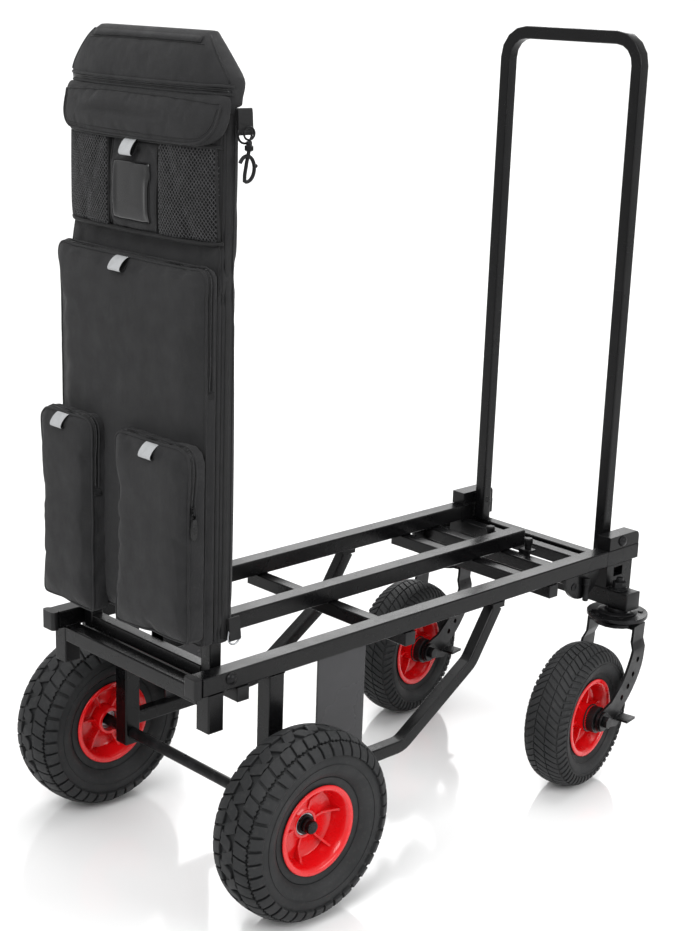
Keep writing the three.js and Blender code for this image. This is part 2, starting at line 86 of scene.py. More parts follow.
class Finish:
    """A principled material that is built up from named procedural layers."""

    def __init__(self, name, colour, roughness, **sockets):
        self.material = bpy.data.materials.new(name)
        self.material.use_nodes = True
        self.tree = self.material.node_tree
        self.shader = self.tree.nodes["Principled BSDF"]
        self.colour = rgb(*colour)
        self.shader.inputs["Base Color"].default_value = self.colour
        self.shader.inputs["Roughness"].default_value = roughness
        for key, value in sockets.items():
            self.shader.inputs[key.replace("_", " ")].default_value = value
        self.bump = None
        self.coordinates = self.node("ShaderNodeTexCoord").outputs["Object"]

    def node(self, kind, **settings):
        made = self.tree.nodes.new(kind)
        for key, value in settings.items():
            setattr(made, key, value)
        return made

    def link(self, a, b):
        self.tree.links.new(a, b)

    def noise(self, scale, detail, stretch=None):
        made = self.node("ShaderNodeTexNoise")
        made.inputs["Scale"].default_value = scale
        made.inputs["Detail"].default_value = detail
        made.inputs["Roughness"].default_value = 0.55
        source = self.coordinates
        if stretch:
            mapping = self.node("ShaderNodeMapping")
            mapping.inputs["Scale"].default_value = stretch
            self.link(self.coordinates, mapping.inputs["Vector"])
            source = mapping.outputs["Vector"]
        self.link(source, made.inputs["Vector"])
        return made.outputs["Fac"]

    def wave(self, scale, direction, distortion=0.0):
        made = self.node("ShaderNodeTexWave", bands_direction=direction, wave_profile="SIN")
        made.inputs["Scale"].default_value = scale
        made.inputs["Distortion"].default_value = distortion
        self.link(self.coordinates, made.inputs["Vector"])
        return made.outputs["Fac"]

    def weave(self, scale, distortion=0.0):
        """The higher of two sets of threads, across the bag and up it."""
        made = self.node("ShaderNodeMath", operation="MAXIMUM")
        self.link(self.wave(scale, "Y", distortion), made.inputs[0])
        self.link(self.wave(scale, "Z", distortion), made.inputs[1])
        return made.outputs["Value"]

    def ramp(self, source, low, high, a, b):
        made = self.node("ShaderNodeMapRange")
        made.inputs["From Min"].default_value = low
        made.inputs["From Max"].default_value = high
        made.inputs["To Min"].default_value = a
        made.inputs["To Max"].default_value = b
        self.link(source, made.inputs["Value"])
        return made.outputs["Result"]

    def tint(self, source, low, high, share, other):
        """Mixes the base colour towards another one, by up to share where the source is high."""
        made = self.node("ShaderNodeMix", data_type="RGBA")
        socket = self.shader.inputs["Base Color"]
        if socket.is_linked:
            self.link(socket.links[0].from_socket, made.inputs[6])
        else:
            made.inputs[6].default_value = self.colour
        made.inputs[7].default_value = rgb(*other)
        self.link(self.ramp(source, low, high, 0.0, share), made.inputs[0])
        self.link(made.outputs[2], socket)

    def blotches(self, scale, detail, low, high, share, other):
        self.tint(self.noise(scale, detail), low, high, share, other)

    def uneven(self, scale, detail, smoothest, roughest, high=0.7):
        """Roughness that wanders between two values."""
        source = self.ramp(self.noise(scale, detail), 0.3, high, smoothest, roughest)
        self.link(source, self.shader.inputs["Roughness"])

    def raise_by(self, height, distance, strength=1.0):
        """Adds a bump layer on top of the ones before it. Distance is in metres."""
        made = self.node("ShaderNodeBump")
        made.inputs["Distance"].default_value = distance
        made.inputs["Strength"].default_value = strength
        self.link(height, made.inputs["Height"])
        if self.bump:
            self.link(self.bump, made.inputs["Normal"])
        self.bump = made.outputs["Normal"]
        self.link(self.bump, self.shader.inputs["Normal"])

    def grain(self, scale, detail, distance, strength, stretch=None):
        self.raise_by(self.noise(scale, detail, stretch), distance, strength)


def lighter(colour, step):
    return tuple(c + step for c in colour)


def ridges(pitch):
    """A wave texture's scale for ridges a pitch apart, in tenths of a millimetre."""
    return 1000.0 * math.pi / pitch


def powder_coat(name, colour, level):
    made = Finish(name, colour, 0.34, Specular_IOR_Level=level)
    made.grain(900, 3, 0.00012, 0.5)
    made.grain(60, 2, 0.0002, 0.35)
    made.blotches(22, 5, 0.45, 0.8, 0.5, lighter(colour, 12))
    made.uneven(14, 4, 0.2, 0.34)
    return made.material


def dark_steel():
    made = Finish("black_zinc", (24, 24, 25), 0.33, Metallic=0.6, Specular_IOR_Level=0.3)
    made.grain(500, 4, 0.0001, 0.4)
    made.blotches(45, 6, 0.5, 0.75, 0.7, (52, 52, 54))
    made.uneven(30, 4, 0.24, 0.46)
    return made.material


def bright_steel():
    made = Finish("zinc_plate", (176, 178, 182), 0.3, Metallic=1.0)
    made.grain(700, 4, 0.00008, 0.4)
    made.blotches(60, 5, 0.45, 0.8, 0.5, (120, 118, 112))
    made.uneven(80, 4, 0.22, 0.42)
    return made.material


def moulded_plastic():
    made = Finish("moulded_plastic", (17, 17, 18), 0.42, Specular_IOR_Level=0.3)
    made.grain(1400, 3, 0.0001, 0.6)
    made.uneven(40, 4, 0.36, 0.5)
    return made.material


def tyre_rubber():
    made = Finish("tyre_rubber", (30, 31, 32), 0.6, Specular_IOR_Level=0.3)
    made.grain(420, 5, 0.00035, 0.5)
    made.grain(70, 3, 0.0005, 0.25)
    made.blotches(9, 6, 0.42, 0.75, 0.6, (46, 46, 47))
    made.blotches(160, 5, 0.55, 0.8, 0.35, (66, 65, 63))
    made.uneven(25, 5, 0.52, 0.74)
    return made.material


def red_paint():
    made = Finish("rim_red", (214, 12, 18), 0.24, Coat_Weight=0.35, Coat_Roughness=0.1,
                  Specular_IOR_Level=0.4)
    made.grain(240, 2, 0.00025, 0.35)
    made.blotches(16, 5, 0.45, 0.8, 0.35, (196, 10, 20))
    made.blotches(130, 6, 0.66, 0.8, 0.4, (150, 16, 20))
    made.uneven(32, 4, 0.18, 0.34)
    return made.material


def woven_fabric(name, colour, pitch):
    """Coated pack cloth: a plain weave, soft creases and a little lint."""
    made = Finish(name, colour, 0.72, Sheen_Weight=0.06, Sheen_Roughness=0.5, Specular_IOR_Level=0.2)
    weave = made.weave(ridges(pitch * 10), 0.4)
    made.raise_by(weave, 0.00035, 0.55)
    made.grain(26, 4, 0.004, 0.3, stretch=(1, 1, 0.6))
    made.tint(weave, 0.2, 1.0, 0.35, lighter(colour, 12))
    made.blotches(11, 6, 0.42, 0.72, 0.55, lighter(colour, 10))
    made.blotches(420, 3, 0.62, 0.8, 0.3, lighter(colour, 34))
    made.uneven(40, 4, 0.62, 0.84)
    return made.material


def webbing():
    made = Finish("binding_tape", (12, 12, 13), 0.6, Sheen_Weight=0.05, Specular_IOR_Level=0.25)
    made.raise_by(made.wave(ridges(14), "Z", 0.2), 0.0004, 0.6)
    made.blotches(60, 4, 0.4, 0.75, 0.6, (24, 24, 25))
    return made.material


def reflective_tape():
    made = Finish("reflective_tape", (150, 152, 154), 0.42, Sheen_Weight=0.2)
    grid = made.weave(220)
    made.raise_by(grid, 0.0003, 0.6)
    made.tint(grid, 0.4, 1.0, 0.5, (182, 183, 184))
    made.blotches(90, 5, 0.5, 0.8, 0.4, (112, 113, 114))
    return made.material


def net_thread():
    made = Finish("net_thread", (44, 44, 45), 0.5, Sheen_Weight=0.05, Specular_IOR_Level=0.3)
    made.grain(1500, 2, 0.0001, 0.6)
    made.blotches(120, 3, 0.4, 0.8, 0.6, (78, 78, 80))
    return made.material


def clear_vinyl():
    made = Finish("clear_vinyl", (17, 17, 18), 0.14, Coat_Weight=0.5, Coat_Roughness=0.06,
                  Specular_IOR_Level=0.3)
    made.grain(9, 2, 0.003, 0.5, stretch=(1, 1, 0.3))
    made.uneven(20, 2, 0.1, 0.2, high=0.8)
    return made.material


def zip_teeth():
    made = Finish("zip_coil", (14, 14, 15), 0.34, Specular_IOR_Level=0.35)
    made.raise_by(made.wave(ridges(16), "Z"), 0.0006, 0.9)
    made.blotches(200, 2, 0.4, 0.8, 0.6, (36, 36, 38))
    return made.material


COAT = powder_coat("powder_coat_black", (9, 9, 10), 0.22)
STEEL = bright_steel()
BLACK_STEEL = dark_steel()
PLASTIC = moulded_plastic()
RUBBER = tyre_rubber()
RED = red_paint()
FABRIC = woven_fabric("bag_fabric", (27, 27, 28), 0.9)
TAPE = webbing()
REFLECTIVE = reflective_tape()
NET = net_thread()
VINYL = clear_vinyl()
ZIP = zip_teeth()
# Painted shade: the cloth behind the nets is made much darker than the bag cloth to stand in for the shade
# inside the net pockets.
SHADED_BACKING_CLOTH = woven_fabric("backing_cloth_painted_shade", (9, 9, 10), 0.6)
PLATE_COAT = powder_coat("powder_coat_plate", (46, 46, 48), 0.35)


# ---- mesh helpers ------------------------------------------------------------
def add_object(name, vertices, faces, material):
    mesh = bpy.data.meshes.new(name)
    mesh.from_pydata([tuple(v) for v in vertices], [], faces)
    mesh.validate()
    fix = bmesh.new()
    fix.from_mesh(mesh)
    bmesh.ops.recalc_face_normals(fix, faces=fix.faces)
    fix.to_mesh(mesh)
    fix.free()
    for polygon in mesh.polygons:
        polygon.use_smooth = True
    made = bpy.data.objects.new(name, mesh)
    bpy.context.scene.collection.objects.link(made)
    mesh.materials.append(material)
    return made


def merge(name, parts, material):
    """One object from several (vertices, faces) lists."""
    vertices, faces = [], []
    for some_vertices, some_faces in parts:
        base = len(vertices)
        vertices.extend(some_vertices)
        faces.extend([tuple(i + base for i in face) for face in some_faces])
    return add_object(name, vertices, faces, material)


def sharpen(obj, degrees=38):
    obj.data.set_sharp_from_angle(angle=math.radians(degrees))
    return obj


def bevelled(obj, width, segments=2, degrees=35):
    modifier = obj.modifiers.new("bevel", "BEVEL")
    modifier.width = width * MM
    modifier.segments = segments
    modifier.limit_method = "ANGLE"
    modifier.angle_limit = math.radians(degrees)
    return obj


def subdivided(obj):
    modifier = obj.modifiers.new("subdivision", "SUBSURF")
    modifier.levels = 1
    modifier.render_levels = 1


def moved(part, matrix):
    return ([matrix @ Vector(v) for v in part[0]], part[1])


def skin(rings, closed=False):
    """Faces through rings that hold as many points each. An open row gets a cap at each end."""
    n, count = len(rings[0]), len(rings)
    vertices = [p for ring in rings for p in ring]
    faces = []
    for i in range(count if closed else count - 1):
        a, b = i * n, (i + 1) % count * n
        faces += [(a + k, a + (k + 1) % n, b + (k + 1) % n, b + k) for k in range(n)]
    if not closed:
        faces += [tuple(range(n)), tuple((count - 1) * n + k for k in range(n))]
    return vertices, faces


def lathe_part(profile, segments, axis="Y", closed=True):
    """Turns (radius, along) points round the Y or Z axis. An open profile starts and ends near it."""
    vertices, faces = [], []
    n = len(profile)
    for i in range(segments):
        a = 2 * math.pi * i / segments
        c, s = math.cos(a), math.sin(a)
        for r, t in profile:
            vertices.append((r * s * MM, t * MM, r * c * MM) if axis == "Y"
                            else (r * c * MM, r * s * MM, t * MM))
    for i in range(segments):
        k = (i + 1) % segments
        for j in range(n if closed else n - 1):
            m = (j + 1) % n
            faces.append((i * n + j, i * n + m, k * n + m, k * n + j))
    if not closed:
        faces.append(tuple(i * n for i in range(segments)))
        faces.append(tuple(i * n + n - 1 for i in range(segments)))
    return vertices, faces


def tube_part(points, radius, sides=8, closed=False, flat=1.0):
    """A round cord along points in metres. Flat below 1 thins it along its second axis."""
    points = [Vector(p) for p in points]
    n = len(points)
    rings = []
    up = None
    for i, p in enumerate(points):
        ahead = points[(i + 1) % n] if closed or i < n - 1 else p
        behind = points[i - 1] if closed or i > 0 else p
        direction = (ahead - behind).normalized()
        if up is None:
            up = direction.orthogonal().normalized()
        up = (up - direction * up.dot(direction)).normalized()
        across = direction.cross(up)
        turns = [2 * math.pi * k / sides for k in range(sides)]
        rings.append([p + (up * math.cos(a) + across * math.sin(a) * flat) * radius * MM for a in turns])
    return skin(rings, closed)


def box_part(low, high):
    (x0, y0, z0), (x1, y1, z1) = low, high
    corners = [Vector((x, y, z)) for x in (x0, x1) for y in (y0, y1) for z in (z0, z1)]
    faces = [(0, 1, 3, 2), (4, 6, 7, 5), (0, 4, 5, 1), (2, 3, 7, 6), (0, 2, 6, 4), (1, 5, 7, 3)]
    return corners, faces


def prism_part(shape, low, high):
    """Joins a shape, placed by the functions low and high, into a solid."""
    return skin([[low(*p) for p in shape], [high(*p) for p in shape]])


def finish_piece(obj, body, slot, *nodes):
    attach(obj, body)
    if nodes:
        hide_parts(*nodes)
    return obj


def hard_piece(name, parts, material, bevel, body, slot, *nodes):
    """A piece of metal or plastic with its edges broken by a small bevel."""
    made = merge(name, parts, material)
    return finish_piece(bevelled(sharpen(made), bevel), body, slot, *nodes)


# ---- the CAD pieces that stay --------------------------------------------------
def dress_cad(node, material, bevel):
    obj = NODES[node]
    obj.data.materials.clear()
    obj.data.materials.append(material)
    for polygon in obj.data.polygons:
        polygon.use_smooth = True
    weld = obj.modifiers.new("weld", "WELD")
    weld.merge_threshold = 0.00002
    bevelled(obj, bevel, 2, 50)
    normals = obj.modifiers.new("normals", "WEIGHTED_NORMAL")
    normals.keep_sharp = True
    normals.weight = 80


def dress_frame():
    coated = (
        "centre_rail", "front_bar", "cross_tube_front", "cross_tube_middle", "cross_tube_back",
        "cross_tube_lock", "cross_tube_slide_front", "cross_tube_slide_back", "caster_beam",
        "front_handle", "front_handle_tie", "rear_handle")
    coated_pairs = ("side_rail", "corner_post", "side_post", "side_brace", "slide_rail", "handle_block")
    other_pairs = (
        ("side_plate", PLATE_COAT, 0.5), ("corner_cap", PLASTIC, 0.8), ("swivel_plate", BLACK_STEEL, 0.8),
        ("front_pivot_bolt", BLACK_STEEL, 0.3), ("rear_pivot_bolt", BLACK_STEEL, 0.3),
        ("caster_fork", BLACK_STEEL, 0.6), ("caster_axle", BLACK_STEEL, 0.4),
        ("brake_pedal", BLACK_STEEL, 0.6))
    for node in coated:
        dress_cad(node, COAT, 0.9)
    for side, _ in SIDES:
        for node in coated_pairs:
            dress_cad(f"{node}_{side}", COAT, 0.9)
        for node, material, bevel in other_pairs:
            dress_cad(f"{node}_{side}", material, bevel)
    dress_cad("axle_shaft", BLACK_STEEL, 0.5)


# ---- tyres -------------------------------------------------------------------
class TyreSection:
    """A tyre's outer curve, followed by its arc length from the middle of the tread."""

    def __init__(self, radius, width, rim, tread):
        middle = (radius + rim - 4) / 2 + 2
        high = radius - tread - middle
        half = width / 2 - 0.6
        angles = np.linspace(-math.pi * 0.75, math.pi * 0.75, 801)
        self.r = middle + high * np.sign(np.cos(angles)) * np.abs(np.cos(angles)) ** 0.75
        self.y = half * np.sign(np.sin(angles)) * np.abs(np.sin(angles)) ** 0.8
        length = np.concatenate([[0], np.cumsum(np.hypot(np.diff(self.r), np.diff(self.y)))])
        self.s = length - length[400]
        dr, dy = np.gradient(self.r, self.s), np.gradient(self.y, self.s)
        size = np.hypot(dr, dy)
        self.nr, self.ny = dy / size, -dr / size

    def point(self, s, lift=0.0):
        r = np.interp(s, self.s, self.r) + lift * np.interp(s, self.s, self.nr)
        y = np.interp(s, self.s, self.y) + lift * np.interp(s, self.s, self.ny)
        return float(r), float(y)


def tread_block(section, pitch, start, end, low, high, lift, edges, lean, columns=9):
    """One rubber block, from start to end in pitches round the tyre and from low to high across it.

    The two edges are functions that may tooth it. Lean slants the block round the tyre.
    """
    low_edge, high_edge = edges
    rows = max(3, int(abs(high - low) / 5) + 1)
    vertices, faces, grids = [], [], []
    for height, inset in ((-1.2, 0.0), (lift - 0.7, 0.0), (lift, 0.7)):
        inset_angle = inset * 0.0085
        grid = []
        for i in range(columns):
            a = i / (columns - 1)
            s_low = low + low_edge(a) + inset
            s_high = high + high_edge(a) - inset
            line = []
            for j in range(rows + 1):
                b = j / rows
                angle = (start + lean * (b - 0.5)) * pitch + inset_angle
                angle += ((end - start) * pitch - 2 * inset_angle) * a
                r, y = section.point(s_low + (s_high - s_low) * b, height)
                line.append(len(vertices))
                vertices.append((r * math.sin(angle) * MM, y * MM, r * math.cos(angle) * MM))
            grid.append(line)
        grids.append(grid)
    top = grids[2]
    faces = [(top[i][j], top[i + 1][j], top[i + 1][j + 1], top[i][j + 1])
             for i in range(columns - 1) for j in range(rows)]

    def border(grid):
        around = [line[0] for line in grid] + grid[-1][1:]
        return around + [line[-1] for line in grid[-2::-1]] + grid[0][rows - 1:0:-1]

    for lower, upper in ((0, 1), (1, 2)):
        a, b = border(grids[lower]), border(grids[upper])
        faces += [(a[k - 1], a[k], b[k], b[k - 1]) for k in range(len(a))]
    faces.append(tuple(reversed(border(grids[0]))))
    return vertices, faces


def straight(_):
    return 0.0


def toothed(depth, teeth, phase=0.0):
    def edge(a):
        t = (a * teeth + phase) % 1.0
        return depth * (1.0 - abs(2.0 * t - 1.0) * 2.0)
    return edge


def carcass_part(section, rim, bead_half, segments):
    profile = [section.point(s) for s in np.linspace(section.s[0], section.s[-1], 44)]
    profile += [(rim + 1.0, bead_half - 0.5), (rim - 4.0, bead_half - 0.5)]
    profile += [(rim - 4.0, -bead_half + 0.5), (rim + 1.0, -bead_half + 0.5)]
    return lathe_part(profile, segments)


def sidewall_rings(section, rings):
    """Thin moulded rings round both sidewalls, each from (place, width, lift)."""
    parts = []
    for s, width, lift in rings:
        shape = [(-0.5, -0.6), (-0.35, lift * 0.8), (0, lift), (0.35, lift * 0.8), (0.5, -0.6)]
        for e in (-1, 1):
            parts.append(lathe_part([section.point(e * (s + width * t), h) for t, h in shape], 120))
    return parts


def drive_tyre_parts():
    section = TyreSection(DRIVE_RADIUS, 82, DRIVE_RIM, 4.4)
    pitches = 40
    angle = 2 * math.pi / pitches
    parts = [carcass_part(section, DRIVE_RIM, DRIVE_BEAD, 160)]
    parts += sidewall_rings(section, [(61, 1.4, 0.9), (86, 1.6, 1.0), (90, 1.2, 0.8)])
    bite = toothed(1.3, 2.5, 0.2)
    for k in range(pitches):
        odd = k % 2
        for e in (-1, 1):
            first = k if e > 0 else k + 0.5
            parts.append(tread_block(
                section, angle, first + 0.05, first + (0.86 if odd else 0.82), *sorted((e * 32.5, e * 48.5)),
                4.3, (bite, straight)[::e], 0.1 * e))
            parts.append(tread_block(
                section, angle, first + 0.34, first + 1.2, *sorted((e * 12.8, e * 30.2)),
                4.4, (straight, bite)[::e], -0.3 * e))
        sway = 2.2 if odd else -2.2
        parts.append(tread_block(
            section, angle, k + 0.06, k + 0.92, sway - 9, sway + 9,
            4.4, (toothed(0.8, 1.5), toothed(0.8, 1.5, 0.5)), 0.5 if odd else -0.5))
    return parts


def caster_tyre_parts():
    section = TyreSection(CASTER_RADIUS, 68, CASTER_RIM, 2.2)
    pitches = 58
    angle = 2 * math.pi / pitches
    parts = [carcass_part(section, CASTER_RIM, CASTER_BEAD, 140)]
    parts += sidewall_rings(section, [(47, 1.2, 0.7), (64, 1.3, 0.8)])
    plain = (straight, straight)
    for k in range(pitches):
        for e in (-1, 1):
            parts.append(tread_block(
                section, angle, k + 0.1, k + 0.72, *sorted((e * 27.0, e * 43.0)), 2.0, plain, 0.7 * e, 3))
            parts.append(tread_block(
                section, angle, k + 0.2, k + 1.02, *sorted((e * 9.5, e * 26.0)), 2.2, plain, -1.0 * e, 3))
        parts.append(tread_block(section, angle, k + 0.1, k + 0.9, -8.4, 8.4, 2.2, plain, 0.9, 3))
    return parts


# ---- wheels ------------------------------------------------------------------
def rim_parts(rim, bead_half, bore, hub_out, hub_in, rib_phase):
    """Dished rim: rolled flanges, a bowl on both sides of a thin web, and ribs."""
    lip = bead_half + 3.5
    outer = [
        (bore, -hub_out), (HUB - 1.2, -hub_out), (HUB, -hub_out + 1.2), (HUB + 0.6, -4.5), (HUB + 3, -2.6),
        (rim - 19, -2.2), (rim - 15, -4.5), (rim - 11.5, -bead_half + 8), (rim - 9.5, -bead_half + 1.5),
        (rim - 7.6, -lip + 1.6), (rim - 5.5, -lip + 0.2), (rim - 2, -lip), (rim - 0.2, -lip + 0.9),
        (rim, -lip + 2.2), (rim - 0.8, -bead_half - 0.6), (rim - 4.6, -bead_half - 0.2),
    ]
    inner = [(r, -y) for r, y in reversed(outer)]
    inner[-3:] = [(HUB, hub_in - 1.2), (HUB - 1.2, hub_in), (bore, hub_in)]
    parts = [lathe_part(outer + inner, 96)]
    half = 1.7
    for k in range(RIBS):
        turn = Matrix.Rotation(2 * math.pi * (k + rib_phase) / RIBS, 4, "Y")
        for e, hub_height in ((-1, hub_out), (1, hub_in)):
            rise = min(hub_height, 14)
            shape = [
                (HUB - 0.8, 0.5), (HUB - 0.8, rise - 0.8), (rim - 30, rise - 0.5),
                (rim - 14.2, bead_half - 12), (rim - 12.2, bead_half - 9), (rim - 12.5, 0.5),
            ]
            part = prism_part(
                shape,
                lambda r, y: Vector((-half * MM, e * y * MM, r * MM)),
                lambda r, y: Vector((half * MM, e * y * MM, r * MM)))
            parts.append(moved(part, turn))
    return parts


def bearing_part(bore, outer, half):
    face = [(outer, half), (outer - 1.8, half), (outer - 2.1, half - 0.9), (bore + 2.4, half - 0.9),
            (bore + 2.1, half), (bore, half)]
    return lathe_part(face + [(r, -t) for r, t in reversed(face)], 48)


def rim_piece(name, parts, body, node):
    rim = merge(name, parts, RED)
    return finish_piece(bevelled(sharpen(rim, 40), 0.5, 2, 50), body, "rim", node)


def drive_wheels():
    seal = [(9.9, -6.3), (13.4, -6.3), (13.4, -5.2), (9.9, -5.2)]
    for side, s in SIDES:
        body = f"drive_wheel_{side}"
        mirror = Matrix.Scale(-s, 4, (0, 1, 0))
        place = shifted(AXLE_X, s * DRIVE_Y, AXLE_Z) @ mirror
        spin = Matrix.Rotation(math.radians(11 if s < 0 else 29), 4, "Y")
        tyre = merge(f"tyre_tread_{side}", [moved(p, place @ spin) for p in drive_tyre_parts()], RUBBER)
        finish_piece(sharpen(tyre, 30), body, "tyre", f"drive_tyre_{side}")
        parts = rim_parts(DRIVE_RIM, DRIVE_BEAD, 15.3, 6, 26, 0.12)
        rim_piece(f"rim_dish_{side}", [moved(p, place @ spin) for p in parts], body, f"drive_rim_{side}")
        ring = moved(bearing_part(8.4, 15, 10), place @ Matrix.Translation((0, 0.0045, 0)))
        hard_piece(f"hub_bearing_{side}", [ring], STEEL, 0.25, body, "steel", f"drive_bearing_{side}")
        cover = moved(lathe_part(seal, 40), place @ Matrix.Translation((0, 0.0016, 0)))
        finish_piece(merge(f"hub_seal_{side}", [cover], PLASTIC), body, "plastic")
        axle_cap(side, s)


def axle_cap(side, s):
    """Washer, locking cap and end dimple where the shaft leaves the hub."""
    washer = [(8.2, 7.0), (13.2, 7.0), (13.2, 9.2), (8.2, 9.2)]
    cap = [(0.1, 9.6), (9.4, 9.6), (10.2, 10.4), (10.2, 13.5), (9.2, 14.6), (9.2, 19.4), (8.2, 21.2),
           (5, 21.4),
           (4.4, 20.2), (0.1, 20.2)]
    turned = [lathe_part([(r, s * t) for r, t in washer], 40),
              lathe_part([(r, s * t) for r, t in cap], 40, closed=False)]
    place = shifted(AXLE_X, s * DRIVE_Y, AXLE_Z)
    hard_piece(f"axle_cap_{side}", [moved(p, place) for p in turned], BLACK_STEEL, 0.3, "frame", "dark_steel")


def caster_wheels():
    yaw = Matrix.Rotation(math.radians(9.5), 4, "Z")
    cap = [(8.5, 38.4), (19.2, 38.4), (19.6, 38), (19.6, 26), (21.8, 25.4), (21.8, 23.8), (20.2, 23.8),
           (20.2, 39.2), (8.5, 39.2)]
    for side, s in SIDES:
        body = f"caster_wheel_{side}"
        place = shifted(KING_X, s * CASTER_Y, 0) @ yaw
        place = place @ Matrix.Translation((-CASTER_TRAIL * MM, 0, CASTER_RADIUS * MM))
        tyre = merge(f"caster_tread_{side}", [moved(p, place) for p in caster_tyre_parts()], RUBBER)
        finish_piece(sharpen(tyre, 30), body, "tyre", f"caster_tyre_{side}")
        parts = rim_parts(CASTER_RIM, CASTER_BEAD, 6.3, 38, 38, 0.35)
        rim_piece(f"caster_dish_{side}", [moved(p, place) for p in parts], body, f"caster_rim_{side}")
        caps = [moved(lathe_part([(r, e * t) for r, t in cap], 48), place) for e in (-1, 1)]
        hard_piece(f"hub_sleeve_{side}", caps, PLASTIC, 0.3, body, "plastic")


# ---- hardware on the frame -----------------------------------------------------
def stud_part(radius, low, high):
    profile = [(0.05, low)]
    z = low
    while z < high - 1.2:
        profile += [(radius, z + 0.3), (radius - 0.5, z + 0.9)]
        z += 1.2
    profile += [(radius, high - 0.8), (radius - 0.8, high), (0.05, high)]
    return lathe_part(profile, 20, "Z", closed=False)


def disc_part(radius, low, high):
    bore = 0.1
    return lathe_part([(bore, low), (radius, low), (radius, high), (bore, high)], 40, "Z")


def nut_part(across, low, high):
    reach = across / 2 / math.cos(math.pi / 6)
    hexagon = [(reach * math.cos(math.pi * k / 3), reach * math.sin(math.pi * k / 3)) for k in range(6)]
    return prism_part(
        hexagon,
        lambda a, b: Vector((a, b, low)) * MM,
        lambda a, b: Vector((a, b, high)) * MM)


def king_pins():
    for side, s in SIDES:
        axis = shifted(KING_X, s * CASTER_Y, 0)
        stack = [disc_part(13.5, 284.2, 286.4), disc_part(11.5, 286.4, 288.4), nut_part(19, 288.4, 297.5),
                 stud_part(5.6, 288.4, 304)]
        parts = [moved(p, axis) for p in stack]
        hard_piece(f"king_pin_{side}", parts, BLACK_STEEL, 0.35, "rear_frame", "dark_steel")
        rivets = []
        for k in range(4):
            a = math.pi / 4 + k * math.pi / 2
            spot = shifted(KING_X + 36 * math.cos(a), s * CASTER_Y + 36 * math.sin(a), 0)
            rivets.append(moved(disc_part(4.2, 248.6, 250.6), spot))
        race = lathe_part([(20, 248.6), (30, 248.6), (31, 249.6), (28, 251.2), (21, 251.2)], 48, "Z")
        rivets.append(moved(race, axis))
        hard_piece(f"swivel_rivets_{side}", rivets, BLACK_STEEL, 0.4, "rear_frame", "dark_steel")


def plug(name, centre, size, body, corner):
    """A plastic plug that closes the open end of a tube."""
    half = [v / 2 for v in size]
    low = at(*(c - h for c, h in zip(centre, half)))
    high = at(*(c + h for c, h in zip(centre, half)))
    made = merge(name, [box_part(low, high)], PLASTIC)
    return finish_piece(bevelled(made, corner, 4), body, "plastic")


def tube_ends():
    rail, cross = 24.6, 19.4           # outer widths of the plugs in 25 mm and 20 mm tube
    for side, s in SIDES:
        foot = (rail, rail, PLUG_THICKNESS)
        plug(f"post_plug_{side}", (17, s * RAIL_Y, 268.4), foot, "frame", 1.1)
        plug(f"foot_plug_{side}", (AXLE_X, s * RAIL_Y, 113.6), foot, "frame", 1.1)
        plug(f"beam_plug_{side}", (820, s * 206.2, 270), (32.4, 3.6, 28.4), "rear_frame", 1.7)
        plug(f"rail_plug_{side}", (879.4, s * RAIL_Y, RAIL_MIDDLE), (2.4, rail, rail), "rear_frame", 1.1)
        for name, x in CROSS_TUBES:
            plug(f"{name}_plug_{side}", (x, s * 166.4, 308.7), (cross, 1.8, cross), "frame", 0.8)
    plug("rail_end_plug", (784.6, 0, RAIL_MIDDLE), (2.0, 24.4, 24.4), "frame", 0.9)


def lug_pins():
    """Spring pin on the lug under each side rail, and the eyelet beside it."""
    shank = lathe_part(
        [(0.1, 276), (4.2, 276.4), (4.6, 278), (4.6, 300), (5.8, 301), (5.8, 312), (4.2, 313), (0.1, 313)],
        20, "Z", closed=False)
    ring = [(3.4, 0), (6.2, 0), (6.2, 1.0), (3.4, 1.0)]
    for side, s in SIDES:
        pin = moved(shank, shifted(751, s * 167.4, 0))
        hard_piece(f"lug_pin_{side}", [pin], BLACK_STEEL, 0.3, "frame", "dark_steel")
        eyelet = lathe_part([(r, s * t) for r, t in ring], 28)
        rivet = lathe_part([(0.1, 0), (3.2, 0), (3.2, s * 0.3), (0.1, s * 0.3)], 20, closed=False)
        place = shifted(727, s * 163.1, 302)
        parts = [moved(eyelet, place), moved(rivet, place)]
        hard_piece(f"lug_eyelet_{side}", parts, BLACK_STEEL, 0.25, "frame", "dark_steel")


def deck_pins():
    """Two spring plungers on the tube behind the centre of the deck."""
    bracket = [(751.4, 300), (754.4, 300), (754.4, 322), (768, 322), (768, 325), (751.4, 325)]
    knob = lathe_part(
        [(0.1, 325.2), (5.4, 325.2), (5.4, 333), (7.2, 334), (7.2, 341), (5.8, 342.5), (0.1, 342.5)],
        24, "Z", closed=False)
    for side, s in SIDES:
        y = s * 40
        plate = prism_part(bracket, lambda a, b: at(a, y - 11, b), lambda a, b: at(a, y + 11, b))
        parts = [plate, moved(knob, shifted(761, y, 0))]
        hard_piece(f"deck_pin_{side}", parts, BLACK_STEEL, 0.5, "frame", "dark_steel")


def weld_bead(name, start, end, radius=2.0, body="frame"):
    """A row of overlapping ripples, as a MIG weld leaves."""
    start, end = at(*start), at(*end)
    count = max(2, int((end - start).length / (1.1 * MM)))
    route = [start.lerp(end, i / count) for i in range(count)] + [end]
    sides = 8
    rings = []
    for i, p in enumerate(route):
        direction = (route[min(i + 1, count)] - route[max(i - 1, 0)]).normalized()
        up = direction.orthogonal().normalized()
        across = direction.cross(up)
        swell = radius * (1.0 if i % 2 else 0.84) * rng.uniform(0.94, 1.06)
        if i in (0, count):
            swell *= 0.5
        turns = [2 * math.pi * k / sides for k in range(sides)]
        rings.append([p + (up * math.cos(a) + across * math.sin(a)) * swell * MM for a in turns])
    finish_piece(merge(f"weld_{name}", [skin(rings)], COAT), body, "frame")


